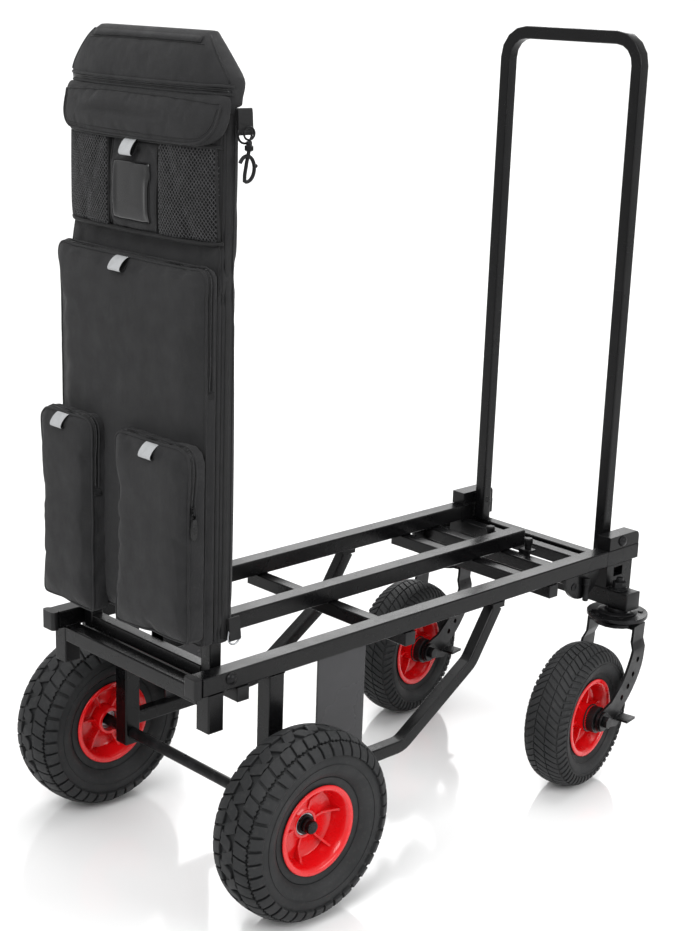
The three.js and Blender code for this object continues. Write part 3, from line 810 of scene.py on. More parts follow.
def welds():
    under = RAIL_UNDER - 0.2
    for side, s in SIDES:
        def across(name, x, z, low=141.5, high=165.5, radius=2.0):
            weld_bead(f"{name}_{side}", (x, s * low, z), (x, s * high, z), radius)

        def along(name, x0, x1, y, z, radius, body="frame"):
            weld_bead(f"{name}_{side}", (x0, s * y, z), (x1, s * y, z), radius, body)

        across("post", 29.8, under)
        across("upright_a", 106.2, 318.6)
        across("upright_b", 131.8, 318.6)
        across("brace_a", 536.6, 318.6, 148)
        across("brace_b", 562.4, 318.6, 148)
        across("brace_c", 131.8, 156.8, 148)
        along("plate", 195, 279, 160, 156.9, 1.6)
        along("plate_top", 195, 279, 160, 318.4, 1.6)
        along("front", 6, 27, 140.6, 320.9, 1.8)
        for name, x in CROSS_TUBES:
            across(f"{name}_a", x - 10.2, under, 143, 164, 1.5)
            across(f"{name}_b", x + 10.2, under, 143, 164, 1.5)
        along("block", 808, 876, 140.9, 344.3, 1.6, "rear_frame")
        along("bracket", 804, 836, 166.2, 284.4, 1.8, "rear_frame")
    for name, x in (*CROSS_TUBES, ("lock", LOCK_TUBE_X)):
        for letter, edge in (("a", x - 10.2), ("b", x + 10.2)):
            weld_bead(f"centre_{name}_{letter}", (edge, -11, under), (edge, 11, under), 1.4)


# ---- sewn pieces: outlines, cushions and cords ---------------------------------
def outline(corners, inset, per_corner=7, per_side=10):
    """Points (y, z) round a polygon of (y, z, radius) corners, moved inwards by inset."""
    n = len(corners)
    points = [Vector(c[:2]) for c in corners]
    inner = []
    for i in range(n):
        before = (points[i] - points[i - 1]).normalized()
        after = (points[(i + 1) % n] - points[i]).normalized()
        n0, n1 = Vector((-before.y, before.x)), Vector((-after.y, after.x))
        inner.append(points[i] + (n0 + n1) * (inset / (1.0 + n0.dot(n1))))
    arcs = []
    for i, p in enumerate(inner):
        before = (inner[i - 1] - p).normalized()
        after = (inner[(i + 1) % n] - p).normalized()
        radius = max(corners[i][2] - inset, 0.8)
        half = before.angle(after) / 2
        reach = radius / math.tan(half)
        centre = p + (before + after).normalized() * (radius / math.sin(half))
        start, end = p + before * reach - centre, p + after * reach - centre
        arcs.append([centre + start.slerp(end, k / (per_corner - 1)) * radius for k in range(per_corner)])
    result = []
    for i, arc in enumerate(arcs):
        following = arcs[(i + 1) % n][0]
        result += arc + [arc[-1].lerp(following, k / per_side) for k in range(1, per_side)]
    return [(p.x, p.y) for p in result]


def lofted(name, loops, material):
    """A closed shell through loops of points in mm."""
    return merge(name, [skin([[at(*p) for p in loop] for loop in loops])], material)


def cushion(name, corners, back, face, material, edge, crown, reach):
    """A closed pouch. Face gives the front's x at (y, z), and the back lies flat on x = back."""
    loops = [[(back - k * 0.7, y, z) for y, z in outline(corners, inset)]
             for k, inset in enumerate((2.5, 0.6, 0.0))]
    loops.append([(face(y, z) + edge, y, z) for y, z in outline(corners, 0.0)])
    for t in (0.25, 0.5, 0.75, 1.0):
        a = t * math.pi / 2
        ring = outline(corners, edge * (1 - math.cos(a)))
        loops.append([(face(y, z) + edge * (1 - math.sin(a)), y, z) for y, z in ring])
    for t in (0.12, 0.3, 0.5, 0.75, 1.0):
        ring = outline(corners, edge + (reach - edge) * t)
        lift = crown * math.sin(t * math.pi / 2)
        loops.append([(face(y, z) - lift, y, z) for y, z in ring])
    return lofted(name, loops, material)


def apply_modifiers(obj):
    view = bpy.context.evaluated_depsgraph_get()
    material = obj.data.materials[0]
    mesh = bpy.data.meshes.new_from_object(obj.evaluated_get(view))
    obj.modifiers.clear()
    obj.data = mesh
    mesh.materials.clear()
    mesh.materials.append(material)
    for polygon in mesh.polygons:
        polygon.use_smooth = True


def remeshed(obj, size):
    modifier = obj.modifiers.new("remesh", "REMESH")
    modifier.mode = "VOXEL"
    modifier.voxel_size = size * MM
    apply_modifiers(obj)


def coordinates(obj):
    flat = np.zeros(len(obj.data.vertices) * 3, np.float32)
    obj.data.vertices.foreach_get("co", flat)
    return flat.reshape(-1, 3).astype(float)


def inflate(obj, held, voxel, pressure, slack, cap, frames=14):
    """Lets the sewn shell settle as cloth. Held gives each point's pin weight from its x, y and z."""
    remeshed(obj, voxel)
    start = coordinates(obj)
    group = obj.vertex_groups.new(name="pins")
    for i, p in enumerate(start / MM + np.array([FRONT, 0, 0])):
        weight = held(*p)
        if weight > 0:
            group.add([i], float(weight), "REPLACE")
    modifier = obj.modifiers.new("cloth", "CLOTH")
    settings = modifier.settings
    settings.quality = 6
    settings.mass = 0.25
    settings.tension_stiffness = settings.compression_stiffness = 18
    settings.shear_stiffness = 8
    settings.bending_stiffness = 0.9
    settings.use_pressure = True
    settings.uniform_pressure_force = pressure
    settings.shrink_min = -slack
    settings.vertex_group_mass = "pins"
    settings.effector_weights.gravity = 0.0
    modifier.collision_settings.use_collision = False
    scene = bpy.context.scene
    scene.frame_start, scene.frame_end = 1, frames
    for frame_number in range(1, frames + 1):
        scene.frame_set(frame_number)
    apply_modifiers(obj)
    scene.frame_set(1)
    shift = coordinates(obj) - start
    length = np.linalg.norm(shift, axis=1, keepdims=True)
    limit = cap * MM
    shift *= np.where(length > limit, limit / np.maximum(length, 1e-9), 1.0)
    obj.data.vertices.foreach_set("co", (start + shift).astype(np.float32).ravel())
    obj.data.update()


def tree_of(obj):
    view = bpy.context.evaluated_depsgraph_get()
    view.update()
    return BVHTree.FromObject(obj, view)


def smooth_route(points, rounds, closed=False):
    points = [Vector(p) for p in points]
    n = len(points)
    for _ in range(rounds):
        fresh = list(points)
        for i in range(n):
            if closed or 0 < i < n - 1:
                fresh[i] = points[i] * 0.5 + (points[i - 1] + points[(i + 1) % n]) * 0.25
        points = fresh
    return points


def snapped(tree, points, lift):
    """Places and normals of a surface nearest to points in mm, with the places raised off it."""
    found = [tree.find_nearest(at(*p)) for p in points]
    places = [place + normal * lift * MM for place, normal, _, _ in found]
    return places, [normal for _, normal, _, _ in found]


def cord_on(name, tree, points, radius, material, lift, body=BAG, closed=False, flat=1.0):
    """A seam, piping or zip that lies on a surface."""
    route = smooth_route(snapped(tree, points, lift)[0], 2, closed)
    return finish_piece(merge(name, [tube_part(route, radius, 8, closed, flat)], material), body, "fabric")


def band_on(name, tree, points, width, material, thick, lift=0.1):
    """A flat strip that lies on a surface."""
    route, normals = snapped(tree, points, lift)
    route, normals = smooth_route(route, 2), smooth_route(normals, 4)
    rings = []
    for i, (p, up) in enumerate(zip(route, normals)):
        direction = (route[min(i + 1, len(route) - 1)] - route[max(i - 1, 0)]).normalized()
        across = direction.cross(up).normalized()
        rings.append([p + across * (a * width / 2 * MM) + up.normalized() * (b * thick * MM)
                      for a, b in ((-1, 0), (-0.92, 1), (0.92, 1), (1, 0))])
    return finish_piece(merge(name, [skin(rings)], material), BAG, "fabric")


def densely(points, step, closed=False):
    """Adds points along straight stretches so that none is longer than step mm."""
    result = []
    ring = points + [points[0]] if closed else points
    for a, b in zip(ring, ring[1:]):
        a, b = Vector(a), Vector(b)
        count = max(1, int((b - a).length / step))
        result += [tuple(a.lerp(b, i / count)) for i in range(count)]
    return result if closed else result + [tuple(ring[-1])]


def part_of_ring(corners, inset, x, keep):
    """The stretch of an outline whose (y, z) passes the test, in order, as points at x."""
    ring = densely([(x, y, z) for y, z in outline(corners, inset)], 4.0, True)
    flags = [keep(p[1], p[2]) for p in ring]
    start = next(i for i in range(len(ring)) if flags[i] and not flags[i - 1])
    result = []
    for i in (*range(start, len(ring)), *range(start)):
        if not flags[i]:
            break
        result.append(ring[i])
    return result


def smooth_profile(points, steps=4):
    """Catmull-Rom through 2-D points."""
    result = []
    n = len(points)
    for i in range(n - 1):
        before, a, b, after = points[max(i - 1, 0)], points[i], points[i + 1], points[min(i + 2, n - 1)]
        for k in range(steps):
            t = k / steps
            result.append(tuple(
                0.5 * (2 * a[d] + (b[d] - before[d]) * t
                       + (2 * before[d] - 5 * a[d] + 4 * b[d] - after[d]) * t * t
                       + (3 * a[d] - before[d] - 3 * b[d] + after[d]) * t ** 3)
                for d in (0, 1)))
    result.append(points[-1])
    return result


def strap_part(profile, half_thick, start, end, place):
    """A folded strap along an (a, b) profile, as wide as from start to end. Place gives a point in metres."""
    rings = []
    last = len(profile) - 1
    for i, (a, b) in enumerate(profile):
        ahead, behind = profile[min(i + 1, last)], profile[max(i - 1, 0)]
        da, db = ahead[0] - behind[0], ahead[1] - behind[1]
        size = math.hypot(da, db) or 1.0
        na, nb = db / size * half_thick, -da / size * half_thick
        rings.append([place(a + na * k, b + nb * k, wide)
                      for k, wide in ((-1, start), (-1, end), (1, end), (1, start))])
    return skin(rings)


def pull_tab(name, y0, y1, z_top, x_top, reach, drop):
    """A folded loop of reflective tape: out from the seam, down, and back under."""
    profile = smooth_profile([(x_top + 3 - reach * a, z_top + 1.5 - drop * b) for a, b in (
        (0, 0), (0.25, 0.02), (0.6, 0.2), (0.92, 0.5), (1.12, 0.82), (1.08, 1.02), (0.84, 1.06), (0.6, 0.9),
        (0.36, 0.62), (0.2, 0.36), (0, 0.2))])
    made = merge(name, [strap_part(profile, 0.75, y0, y1, lambda x, z, y: at(x, y, z))], TAPE)
    made.data.materials.append(REFLECTIVE)
    for polygon in made.data.polygons:
        outer_face = {v % 4 for v in polygon.vertices} == {2, 3}
        if outer_face and min(polygon.vertices) < len(profile) * 2.6:
            polygon.material_index = 1
    finish_piece(bevelled(sharpen(made), 0.25), BAG, "fabric")


# ---- the bag's shell and hood ---------------------------------------------------
def shell_loop(half, x0, x1, z, front_radius, back_radius, crown):
    """A cross-section of the bag at one height. Crown draws the front's sides back."""
    per_corner = 6
    spots = []
    for cx, cy, radius, start in (
            (x0, -half, front_radius, 180), (x1, -half, back_radius, 270),
            (x1, half, back_radius, 0), (x0, half, front_radius, 90)):
        sx, sy = (1 if cx == x0 else -1), (1 if cy < 0 else -1)
        for k in range(per_corner):
            a = math.radians(start + 90 * k / (per_corner - 1))
            spots.append((cx + sx * radius + radius * math.cos(a), cy + sy * radius + radius * math.sin(a)))
    flat = []
    for i, p in enumerate(spots):
        q = spots[(i + 1) % len(spots)]
        flat.append(p)
        if i % per_corner == per_corner - 1:
            count = 22 if (i // per_corner) % 2 else 4
            flat += [(p[0] + (q[0] - p[0]) * k / count, p[1] + (q[1] - p[1]) * k / count)
                     for k in range(1, count)]
    return [(x + crown * (abs(y) / half) ** 4 * (x1 - x) / (x1 - x0), y, z) for x, y in flat]


def make_shell():
    levels = [(374.5, 0.97), (376.5, 0.99), (380, 1.0)]
    levels += [(z, 1.0) for z in range(400, 1040, 22)] + [(1044, 1.0), (1049, 0.99)]
    loops = []
    for z, share in levels:
        upper = min(max((z - 820) / 60, 0), 1)
        loops.append(shell_loop(
            (151 - upper) * share, 24.4 + (1 - share) * 90, 58, z, 5.0 + 5 * upper, 12.0, 9 * upper))
    shell = lofted("bag_shell", loops, FABRIC)
    inflate(shell, lambda x, y, z: 1.0 if z > 1040 or z < 380 or (32 < x < 50 and abs(y) < 120) else 0.12,
            voxel=6.0, pressure=1.2, slack=0.012, cap=2.2)
    subdivided(shell)
    finish_piece(shell, BAG, "fabric", "bag_body")
    tree = tree_of(shell)
    for side, s in SIDES:
        for name, x in (("front", 31), ("rear", 49)):
            seam = densely([(x, s * 152, 380), (x, s * 152, 1028)], 9)
            cord_on(f"gusset_seam_{name}_{side}", tree, seam, 0.9, TAPE, 0.2)
        tape = densely([(40, s * 153, 384), (40, s * 153, 1024)], 12)
        band_on(f"side_webbing_{side}", tree, tape, 9, TAPE, 0.7)
        edge = densely([(24, s * 150, 385), (24, s * 150, 1040)], 9)
        cord_on(f"front_edge_seam_{side}", tree, edge, 1.1, TAPE, 0.3)


HOOD = [
    # z, half width, front x, front radius, crown
    (1031, 152.5, 26, 5, 10), (1040, 154.5, 22.5, 6, 14), (1049, 156.5, 20.0, 7, 18),
    (1057, 158.4, 19.6, 8, 19),
    (1064, 158.0, 20.2, 9, 18), (1072, 152.0, 21.5, 10, 16), (1084, 141.0, 24, 10, 12),
    (1096, 129.6, 27.6, 10, 8),
    (1104, 121.5, 32, 9, 5), (1110, 115.5, 37.5, 8, 3), (1114, 111.5, 43, 5, 2), (1116.2, 109.0, 48, 3, 0),
]


def make_hood():
    loops = [shell_loop(half, x, 59, z, radius, min(6, radius), crown) for z, half, x, radius, crown in HOOD]
    hood = lofted("bag_hood", loops, FABRIC)
    inflate(hood, lambda x, y, z: 1.0 if z < 1040 or x > 54 or z > 1110 else 0.05,
            voxel=5.0, pressure=1.6, slack=0.004, cap=2.4)
    subdivided(hood)
    finish_piece(hood, BAG, "fabric")
    tree = tree_of(hood)
    # rolled hem along the top edge and down the slanted sides
    band_on("hood_top_hem", tree, densely([(35, -104, 1106.5), (35, 104, 1106.5)], 6), 9, FABRIC, 1.5)
    cord_on("hood_top_stitch", tree, densely([(32, -110, 1101.5), (32, 110, 1101.5)], 6), 0.7, TAPE, 0.1)
    for side, s in SIDES:
        slope = [(29, s * 157, 1060), (31, s * 150, 1073), (35, s * 128, 1098), (41, s * 112, 1112)]
        cord_on(f"hood_edge_{side}", tree, densely(slope, 5), 1.2, TAPE, 0.3)
    # zip above the flap, between two piped edges
    for name, z, radius in (("upper", 1055.5, 1.9), ("lower", 1046.5, 1.5)):
        line = [(40, -158, z), (27, -157, z), (20, -150, z), (18, 0, z), (20, 150, z), (27, 157, z),
                (40, 158, z)]
        cord_on(f"hood_piping_{name}", tree, densely(line, 5), radius, FABRIC, 0.5)
    line = [(32, -158, 1051), (21, -150, 1051), (18, 0, 1051), (21, 150, 1051), (32, 158, 1051)]
    band_on("hood_zip", tree, densely(line, 5), 5.5, ZIP, 0.7)


def make_flap():
    corners = [(-162, 986, 48), (154, 987, 26), (154, 1048.5, 5), (-160, 1048.5, 5)]

    def face(y, z):
        t = min(max((1048.5 - z) / 60.5, 0.0), 1.0)
        tuck = 3.5 * min(max((z - 1040) / 8.5, 0.0), 1.0)
        return 18.5 + tuck - 10.5 * math.sin(t * math.pi / 2) ** 0.8 + 12.0 * (abs(y) / 155) ** 3

    flap = cushion("top_flap", corners, 36.0, face, FABRIC, edge=4.0, crown=2.0, reach=24)
    inflate(flap, lambda x, y, z: 1.0 if x > 28.0 else (0.3 if z > 1042 or z < 994 else 0.0),
            voxel=4.0, pressure=2.2, slack=0.006, cap=2.6)
    subdivided(flap)
    finish_piece(flap, "flap", "fabric", "bag_flap")
    tree = tree_of(flap)
    hem = part_of_ring(corners, 1.6, 8.5, lambda y, z: z < 1041)
    cord_on("flap_piping", tree, hem, 1.5, FABRIC, 0.5, "flap")
    stitch = part_of_ring(corners, 7.0, 3.0, lambda y, z: z < 1037)
    cord_on("flap_stitch", tree, stitch, 0.55, TAPE, 0.05, "flap")
    top = densely([(17, -150, 1039), (17, 146, 1039)], 6)
    cord_on("flap_top_seam", tree, top, 0.8, TAPE, 0.1, "flap")


# ---- the pouches under the flap --------------------------------------------------
def from_the_front(tree, y, z):
    """The first place on a surface that a line from in front of the bag meets, or None."""
    return tree.ray_cast(at(-30, y, z), -PUSHED_OUT, 0.12)[0]


def net_part(tree, y0, y1, z0, z1):
    """Knitted diamond net laid on the front of a surface."""
    parts = []
    pitch, rise = 5.0, 1.25            # strands are steeper than 45 degrees
    height = z1 - z0
    steps = int(height / 3.2)
    for k in range(1, int((y1 - y0 + height / rise) / pitch)):
        for direction in (1, -1):
            route = []
            for i in range(steps + 1):
                z = z0 + height * i / steps
                y = y0 + k * pitch - (z - z0) / rise
                if not y0 <= y <= y1:
                    continue
                wobble = 0.35 * math.sin(i * 2.4 + k * 1.7)
                hit = from_the_front(tree, (y if direction > 0 else y0 + y1 - y) + wobble, z)
                if hit is not None:
                    route.append(hit + PUSHED_OUT * 1.6 * MM)
            if len(route) > 1:
                parts.append(tube_part(route, 0.55, 4))
    return parts


def make_net_pouch(side, s):
    low, high = sorted((s * 48.5, s * 146.5))
    corners = [(low, POUCH_LOW, 6), (high, POUCH_LOW, 6), (high, 990, 4), (low, 990, 4)]

    def face(y, z):
        across = (abs(y) - 97) / 49
        belly = max(0.0, 1 - across * across) ** 0.7
        sag = math.sin(math.pi * min(max((z - 870) / 135, 0), 1)) ** 0.5
        fold = 2.4 * math.exp(-((abs(y) - 64 - (984 - z) * 0.4) / 5.0) ** 2)
        fold += 1.4 * math.exp(-((abs(y) - 120 + (984 - z) * 0.2) / 6.0) ** 2)
        return 16.0 + 13.5 * ((abs(y) - 48) / 98) ** 1.3 - 5.0 * belly * sag + fold

    # the backing behind the net is drawn in the darker cloth, as painted shade inside the pocket
    backing_in_shade = cushion(f"net_backing_painted_shade_{side}", corners, 34.0, face, SHADED_BACKING_CLOTH, edge=1.6, crown=0.4, reach=44)
    remeshed(backing_in_shade, 3.5)
    finish_piece(backing_in_shade, BAG, "fabric")
    tree = tree_of(backing_in_shade)
    net = merge(f"net_{side}", net_part(tree, low + 1, high - 1, 878, 988), NET)
    finish_piece(net, BAG, "fabric")
    inner, outer = s * 50.5, s * 145
    cord_on(f"net_inner_binding_{side}", tree, densely([(16, inner, 880), (16, inner, 986)], 5), 1.0, TAPE,
            0.8)
    cord_on(f"net_outer_binding_{side}", tree, densely([(30, outer, 880), (20, outer, 986)], 5), 1.6, TAPE,
            0.8)


def window_part(tree, half, low, high):
    """A sheet of vinyl that follows the pouch, with a bent ridge near each side."""
    rows, columns = 26, 30
    wide = columns + 1
    vertices, faces = [], []
    for layer in (0.5, 1.0):
        for i in range(rows + 1):
            for j in range(wide):
                y, z = -half + 2 * half * j / columns, low + (high - low) * i / rows
                ridge = 1.8 * math.exp(-((abs(y) - 32) / 3.2) ** 2)
                ridge *= max(0.0, math.sin(math.pi * i / rows)) ** 0.5
                vertices.append(from_the_front(tree, y, z) + PUSHED_OUT * (layer + 0.7 + ridge) * MM)
    size = (rows + 1) * wide
    for i in range(rows):
        for j in range(columns):
            a, b = i * wide + j, (i + 1) * wide + j
            faces.append((a, a + 1, b + 1, b))
            faces.append((size + a, size + b, size + b + 1, size + a + 1))
    rim = [*range(wide), *(i * wide + columns for i in range(1, rows + 1))]
    rim += [*(rows * wide + j for j in range(columns - 1, -1, -1)),
            *(i * wide for i in range(rows - 1, 0, -1))]
    faces += [(rim[k - 1], size + rim[k - 1], size + rim[k], rim[k]) for k in range(len(rim))]
    return vertices, faces


def make_window_pouch():
    corners = [(-47.5, POUCH_LOW, 5), (47.5, POUCH_LOW, 5), (47.5, POUCH_HIGH, 4), (-47.5, POUCH_HIGH, 4)]

    def face(y, z):
        t = min(max((z - POUCH_LOW) / 112, 0), 1)
        return 17.5 - 4.0 * math.sin(math.pi * t) ** 0.6 + 2.5 * t

    pouch = cushion("window_pouch", corners, 23.6, face, FABRIC, edge=3.0, crown=1.5, reach=40)
    inflate(pouch, lambda x, y, z: 1.0 if x > 21 else (0.25 if abs(y) > 43 or z < 882 else 0.0),
            voxel=4.0, pressure=2.5, slack=0.03, cap=2.6)
    subdivided(pouch)
    finish_piece(pouch, BAG, "fabric", "mesh_panel")
    tree = tree_of(pouch)
    half, low, high, margin = 35, 889, 959, 1.5
    window = merge("clear_window", [window_part(tree, half, low, high)], VINYL)
    finish_piece(window, BAG, "fabric")
    sides, top, bottom = half + margin, high + margin, low - margin
    seam = outline([(-sides, bottom, 3), (sides, bottom, 3), (sides, top, 3), (-sides, top, 3)], 0)
    cord_on("window_seam", tree, densely([(8, y, z) for y, z in seam], 4, True), 0.8, TAPE, 0.4, closed=True)
    for side, s in SIDES:
        edge = densely([(14, s * 46.5, 880), (14, s * 46.5, 986)], 5)
        cord_on(f"window_pouch_piping_{side}", tree, edge, 1.3, TAPE, 0.5)
    pull_tab("window_tab", -13, 10, 985.5, 12.5, 13, 18)


def across_bag(name, half, middle, step, rounds, radius):
    """A binding across the bag, from its left half and the points in its middle."""
    line = half + middle + [(x, -y, z) for x, y, z in reversed(half)]
    route = smooth_route([at(*p) for p in densely(line, step)], rounds)
    finish_piece(merge(name, [tube_part(route, radius, 10)], TAPE), BAG, "fabric")


def make_pouches():
    """The clear-window pouch in the middle, and a net pouch on each side of it."""
    for side, s in SIDES:
        make_net_pouch(side, s)
    make_window_pouch()
    across_bag(
        "pouch_bottom_binding",
        [(33, -149, 877), (24, -138, 875.5), (21, -118, 875), (17.5, -90, 875), (16, -60, 875.5)],
        [(15, 0, 875)],
        5, 4, 2.3)
    across_bag(
        "pouch_top_binding", [(31, -148, 987), (22, -128, 987), (16.5, -90, 987), (13.5, -48, 986.5)], [],
        6, 2, 2.0)


# ---- the zipped pockets -----------------------------------------------------------
def make_pocket(name, node, corners, back, face, zipped, cap, crown, gap, tab, stop):
    """A boxed pocket with piping round its face and again behind, and the zip between."""
    pocket = cushion(name, corners, back, face, FABRIC, edge=5.0, crown=crown, reach=40)
    inflate(pocket, lambda x, y, z: 1.0 if x > back - 3 else 0.03,
            voxel=5.0, pressure=3.6, slack=0.022, cap=cap, frames=20)
    subdivided(pocket)
    finish_piece(pocket, BAG, "fabric", node)
    tree = tree_of(pocket)
    ring = densely([(face(y, z) + 0.6, y, z) for y, z in outline(corners, 1.2)], 4.0, True)
    cord_on(f"{name}_piping", tree, ring, 1.7, FABRIC, 0.7, closed=True)
    rear = [(face(y, z) + gap + 1.5, y, z) for _, y, z in part_of_ring(corners, -1.0, 0, zipped)]
    cord_on(f"{name}_piping_rear", tree, rear, 1.5, FABRIC, 0.6)
    middle = [(x - gap * 0.5, y, z) for x, y, z in rear]
    band_on(f"{name}_zip_tape", tree, middle, 6.4, TAPE, 0.5)
    cord_on(f"{name}_zip", tree, middle, 1.35, ZIP, 0.7, flat=0.7)
    x, y, z = stop
    band_on(f"{name}_zip_stop", tree, densely([(x - 5, y, z), (x + 5, y, z)], 2), 7, TAPE, 1.2, 0.3)
    pull_tab(f"{name}_tab", *tab)
    return tree


def puller(side, x, y, z, out, tree):
    """Zip slider and the moulded puller hanging from it. Out is the side that it faces."""
    place = tree.find_nearest(at(x, y, z))[0]
    base_x, base_y = place.x / MM + FRONT, place.y / MM

    def spot(along, off, up):
        return at(base_x + along, base_y + out * off, z + up)

    slider = box_part(spot(-2.8, 0.2, -5), spot(2.8, 3.4, 5))
    bridge = tube_part([spot(0, off, up) for off, up in ((2.8, 3.8), (5.6, 2.6), (6.2, -1), (5.2, -4),
                                                         (2.8, -4.6))], 0.9)
    turns = np.linspace(0, 2 * math.pi, 24, endpoint=False)
    ring = tube_part([spot(3.4 * math.sin(a), 5.2, 5.0 * math.cos(a) - 6.5) for a in turns], 0.8, 8, True)
    hard_piece(f"zip_slider_{side}", [slider, bridge, ring], BLACK_STEEL, 0.5, f"pull_{side}", "dark_steel",
               f"zip_pull_{side}")
    half = [(2.2, -9), (3.6, -13), (4.4, -22), (4.2, -30), (2.6, -34.5)]
    shape = [(-2.2, -9), *half, (0, -36), *((-a, b) for a, b in half[:0:-1])]
    grip = prism_part(shape, lambda a, b: spot(a, 3.6, b), lambda a, b: spot(a, 6.8, b))
    bars = [tube_part([spot(-3, 6.8, -h), spot(3, 6.8, -h)], 0.7, 6) for h in (17, 20.5, 24, 27.5)]
    made = merge(f"zip_grip_{side}", [grip] + bars, PLASTIC)
    finish_piece(bevelled(sharpen(made), 0.9, 3), f"pull_{side}", "plastic")


def swelling(x, lift, centre, half):
    """A pocket's face: flat at x, and drawn back by lift at its sides."""
    return lambda y, z: x + lift * (abs(y - centre) / half) ** 6


def make_pockets():
    # corners run anticlockwise in (y, z), seen from behind
    make_pocket(
        "front_pocket", "big_pocket", [(-153, 377.5, 8), (151, 377.5, 8), (151, 850, 17), (-153, 850, 17)],
        24.0, swelling(5.6, 1.4, 0, 148), lambda y, z: z > 700 and (z > 835 or y < 0),
        cap=4.5, crown=2.0, gap=8.0, tab=(-1, 23, 842, 6, 14, 15), stop=(12.5, -155, 697))
    tree = make_pocket(
        "lower_pouch_left", "lower_pocket_left", [(-156, 389, 8), (-5, 380, 7), (-5, 635, 17),
                                                  (-156, 637, 20)],
        5.0, swelling(-20.5, 0.8, -79, 75), lambda y, z: (z > 540 and y < -60) or z > 618,
        cap=5.5, crown=3.0, gap=8.5, tab=(-96, -72, 630, -19, 15, 16), stop=(-11, -156, 536))
    puller("left", -14.1, -158, 560, -1, tree)
    tree = make_pocket(
        "lower_pouch_right", "lower_pocket_right", [(40, 375, 7), (155, 375, 8), (157, 634, 18),
                                                    (40, 637, 17)],
        5.0, swelling(-20.5, 0.8, 96, 56), lambda y, z: (z > 540 and y < 70) or z > 620,
        cap=5.5, crown=3.0, gap=8.5, tab=(90, 114, 631, -19, 15, 16), stop=(-11, 39, 536))
    puller("right", -14.2, 39, 560, 1, tree)


# ---- the hook and the rings --------------------------------------------------------
def webbing_loop(name, y, x0, x1, low, high):
    """Folded webbing tab sewn to the bag's near side, standing off it a little."""
    profile = smooth_profile([
        (high, 0.4), (high - 2, 2.6), (low + 4, 3.4), (low, 5.0), (low - 1.6, 6.6),
        (low + 1, 8.0), (low + 5, 7.0), (high - 1, 5.2), (high + 1.5, 3.4)])
    part = strap_part(profile, 0.8, x0, x1, lambda z, off, x: at(x, y - off, z))
    hard_piece(name, [part], TAPE, 0.3, BAG, "fabric")


def ring_route(x, y, z, radius, tall=1.0, flat_top=None):
    """Points round an upright ring. A flat top cuts it off at that share of its radius."""
    route = []
    for a in np.linspace(0, 2 * math.pi, 36, endpoint=False):
        rise = radius * tall * math.cos(a)
        if flat_top:
            rise = min(rise, radius * flat_top)
        route.append(at(x + radius * math.sin(a), y, z + rise))
    return route


def make_snap_hook():
    """Swivel eye, body and sprung gate, hanging by a wire ring from the webbing."""
    x, y, z = 58, -163, 1008
    eye = tube_part(ring_route(x, y, z - 4, 8.0, 0.9), 1.3, 8, True)
    neck = lathe_part(
        [(0.1, -12), (3.0, -12.4), (3.6, -14), (3.6, -17), (5.2, -18), (5.2, -23), (3.4, -24.2),
         (0.1, -24.2)],
        24, "Z", closed=False)
    curl = [at(x - 3 + 11.5 * math.sin(a + math.pi), y, z - 44 - 13.5 * math.cos(a + math.pi) * 1.1)
            for a in np.linspace(math.radians(-205), math.radians(62), 30)]
    stem = [at(x, y, z - 23), at(x - 0.5, y, z - 27), at(x - 2, y, z - 29.5)]
    hook = tube_part(smooth_route(stem + curl, 1), 2.3, 10)
    gate = tube_part([at(x + 6.6, y, z - 34), at(x + 8.6, y, z - 42), at(x + 8.2, y, z - 50)], 1.5)
    knob = lathe_part([(0.1, -3), (2.2, -2.4), (2.6, 0), (2.2, 2.4), (0.1, 3)], 16, closed=False)
    parts = [eye, moved(neck, shifted(x, y, z)), hook, gate, moved(knob, shifted(x + 9.6, y, z - 41))]
    made = merge("snap_hook_body", parts, BLACK_STEEL)
    finish_piece(bevelled(sharpen(made, 50), 0.2), "hook", "dark_steel", "snap_hook")


def make_rings():
    webbing_loop("hook_tab", -151.0, 46, 68, 1004, 1030)
    ring = tube_part(ring_route(56, -157.6, 1003, 10.5, flat_top=0.45), 1.4, 8, True)
    finish_piece(merge("hook_d_ring", [ring], BLACK_STEEL), BAG, "dark_steel")
    webbing_loop("lower_tab", -150.5, 44, 62, 382, 408)
    ring = tube_part(ring_route(53, -156, 386, 10.0, 1.15), 1.2, 8, True)
    finish_piece(merge("lower_ring", [ring], STEEL), BAG, "steel")


# ---- floor, light and camera -----------------------------------------------------
def make_floor():
    """A pale floor that curves up into a backdrop behind the object."""
    finish = Finish("studio_floor", (240, 240, 240), 0.1, Specular_IOR_Level=0.5)
    finish.uneven(3, 2, 0.07, 0.11)
    reach, rise, curve, half_width = 3.2, 4.2, 1.4, 6.0
    profile = [(-reach, 0.0), (reach - curve, 0.0)]
    profile += [(reach - curve + curve * math.sin(a), curve - curve * math.cos(a))
                for a in np.linspace(0.1, math.pi / 2, 14)]
    profile += [(reach, rise)]
    direction = Vector((0.667, 0.687, 0)).normalized()
    across = Vector((direction.y, -direction.x, 0))
    vertices = [direction * d + across * k + Vector((0, 0, h))
                for d, h in profile for k in (-half_width, half_width)]
    faces = [(i, i + 1, i + 3, i + 2) for i in range(0, len(profile) * 2 - 2, 2)]
    add_object("studio_floor", vertices, faces, finish.material)


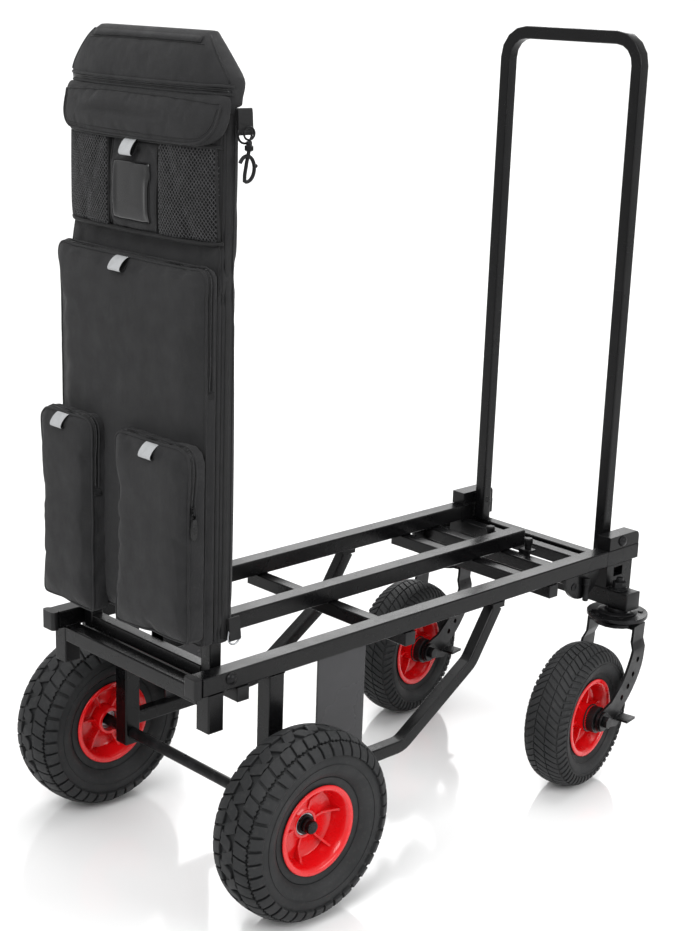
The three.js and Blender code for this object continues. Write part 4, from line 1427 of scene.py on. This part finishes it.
def area_light(name, place, target_height, size, power):
    data = bpy.data.lights.new(name, "AREA")
    data.shape = "RECTANGLE"
    data.size, data.size_y = size
    data.energy = power
    light = bpy.data.objects.new(name, data)
    bpy.context.scene.collection.objects.link(light)
    light.location = place
    light.rotation_mode = "QUATERNION"
    light.rotation_quaternion = (Vector((0, 0, target_height)) - Vector(place)).to_track_quat("-Z", "Y")


def make_light():
    area_light("key_light", (-2.3, -1.0, 2.6), 0.5, (1.6, 1.6), 52)
    area_light("side_light", (0.6, -3.0, 1.7), 0.45, (1.8, 1.4), 38)
    area_light("top_light", (0.3, 0.5, 3.1), 0.3, (2.6, 2.6), 46)
    area_light("rear_light", (2.2, 1.8, 2.0), 0.6, (1.8, 1.4), 24)
    world = bpy.data.worlds.new("studio")
    bpy.context.scene.world = world
    world.use_nodes = True
    background = world.node_tree.nodes["Background"]
    background.inputs["Color"].default_value = (1.0, 1.0, 1.0, 1.0)
    background.inputs["Strength"].default_value = 0.78


def make_camera():
    data = bpy.data.cameras.new("camera")
    camera = bpy.data.objects.new("camera", data)
    bpy.context.scene.collection.objects.link(camera)
    bpy.context.scene.camera = camera
    data.sensor_width = 36
    data.lens = 66.68
    data.shift_x, data.shift_y = 0.0114, 0.0419
    data.clip_start, data.clip_end = 0.05, 60
    turn, tilt, roll = math.radians(-44.16), math.radians(16.87), math.radians(1.94)
    ahead = Vector((-math.sin(turn) * math.cos(tilt), math.cos(turn) * math.cos(tilt), -math.sin(tilt)))
    right = Vector((math.cos(turn), math.sin(turn), 0))
    up = right.cross(ahead)
    right_rolled = right * math.cos(roll) + up * math.sin(roll)
    up_rolled = up * math.cos(roll) - right * math.sin(roll)
    matrix = Matrix((right_rolled, up_rolled, -ahead)).transposed().to_4x4()
    matrix.translation = Vector((-1.692, -1.693, 1.1747))
    camera.matrix_world = matrix


dress_frame()
drive_wheels()
caster_wheels()
king_pins()
tube_ends()
lug_pins()
deck_pins()
welds()
make_shell()
make_hood()
make_flap()
make_pouches()
make_pockets()
make_snap_hook()
make_rings()
make_floor()
make_light()
make_camera()
bpy.context.scene.view_settings.view_transform = "Standard"
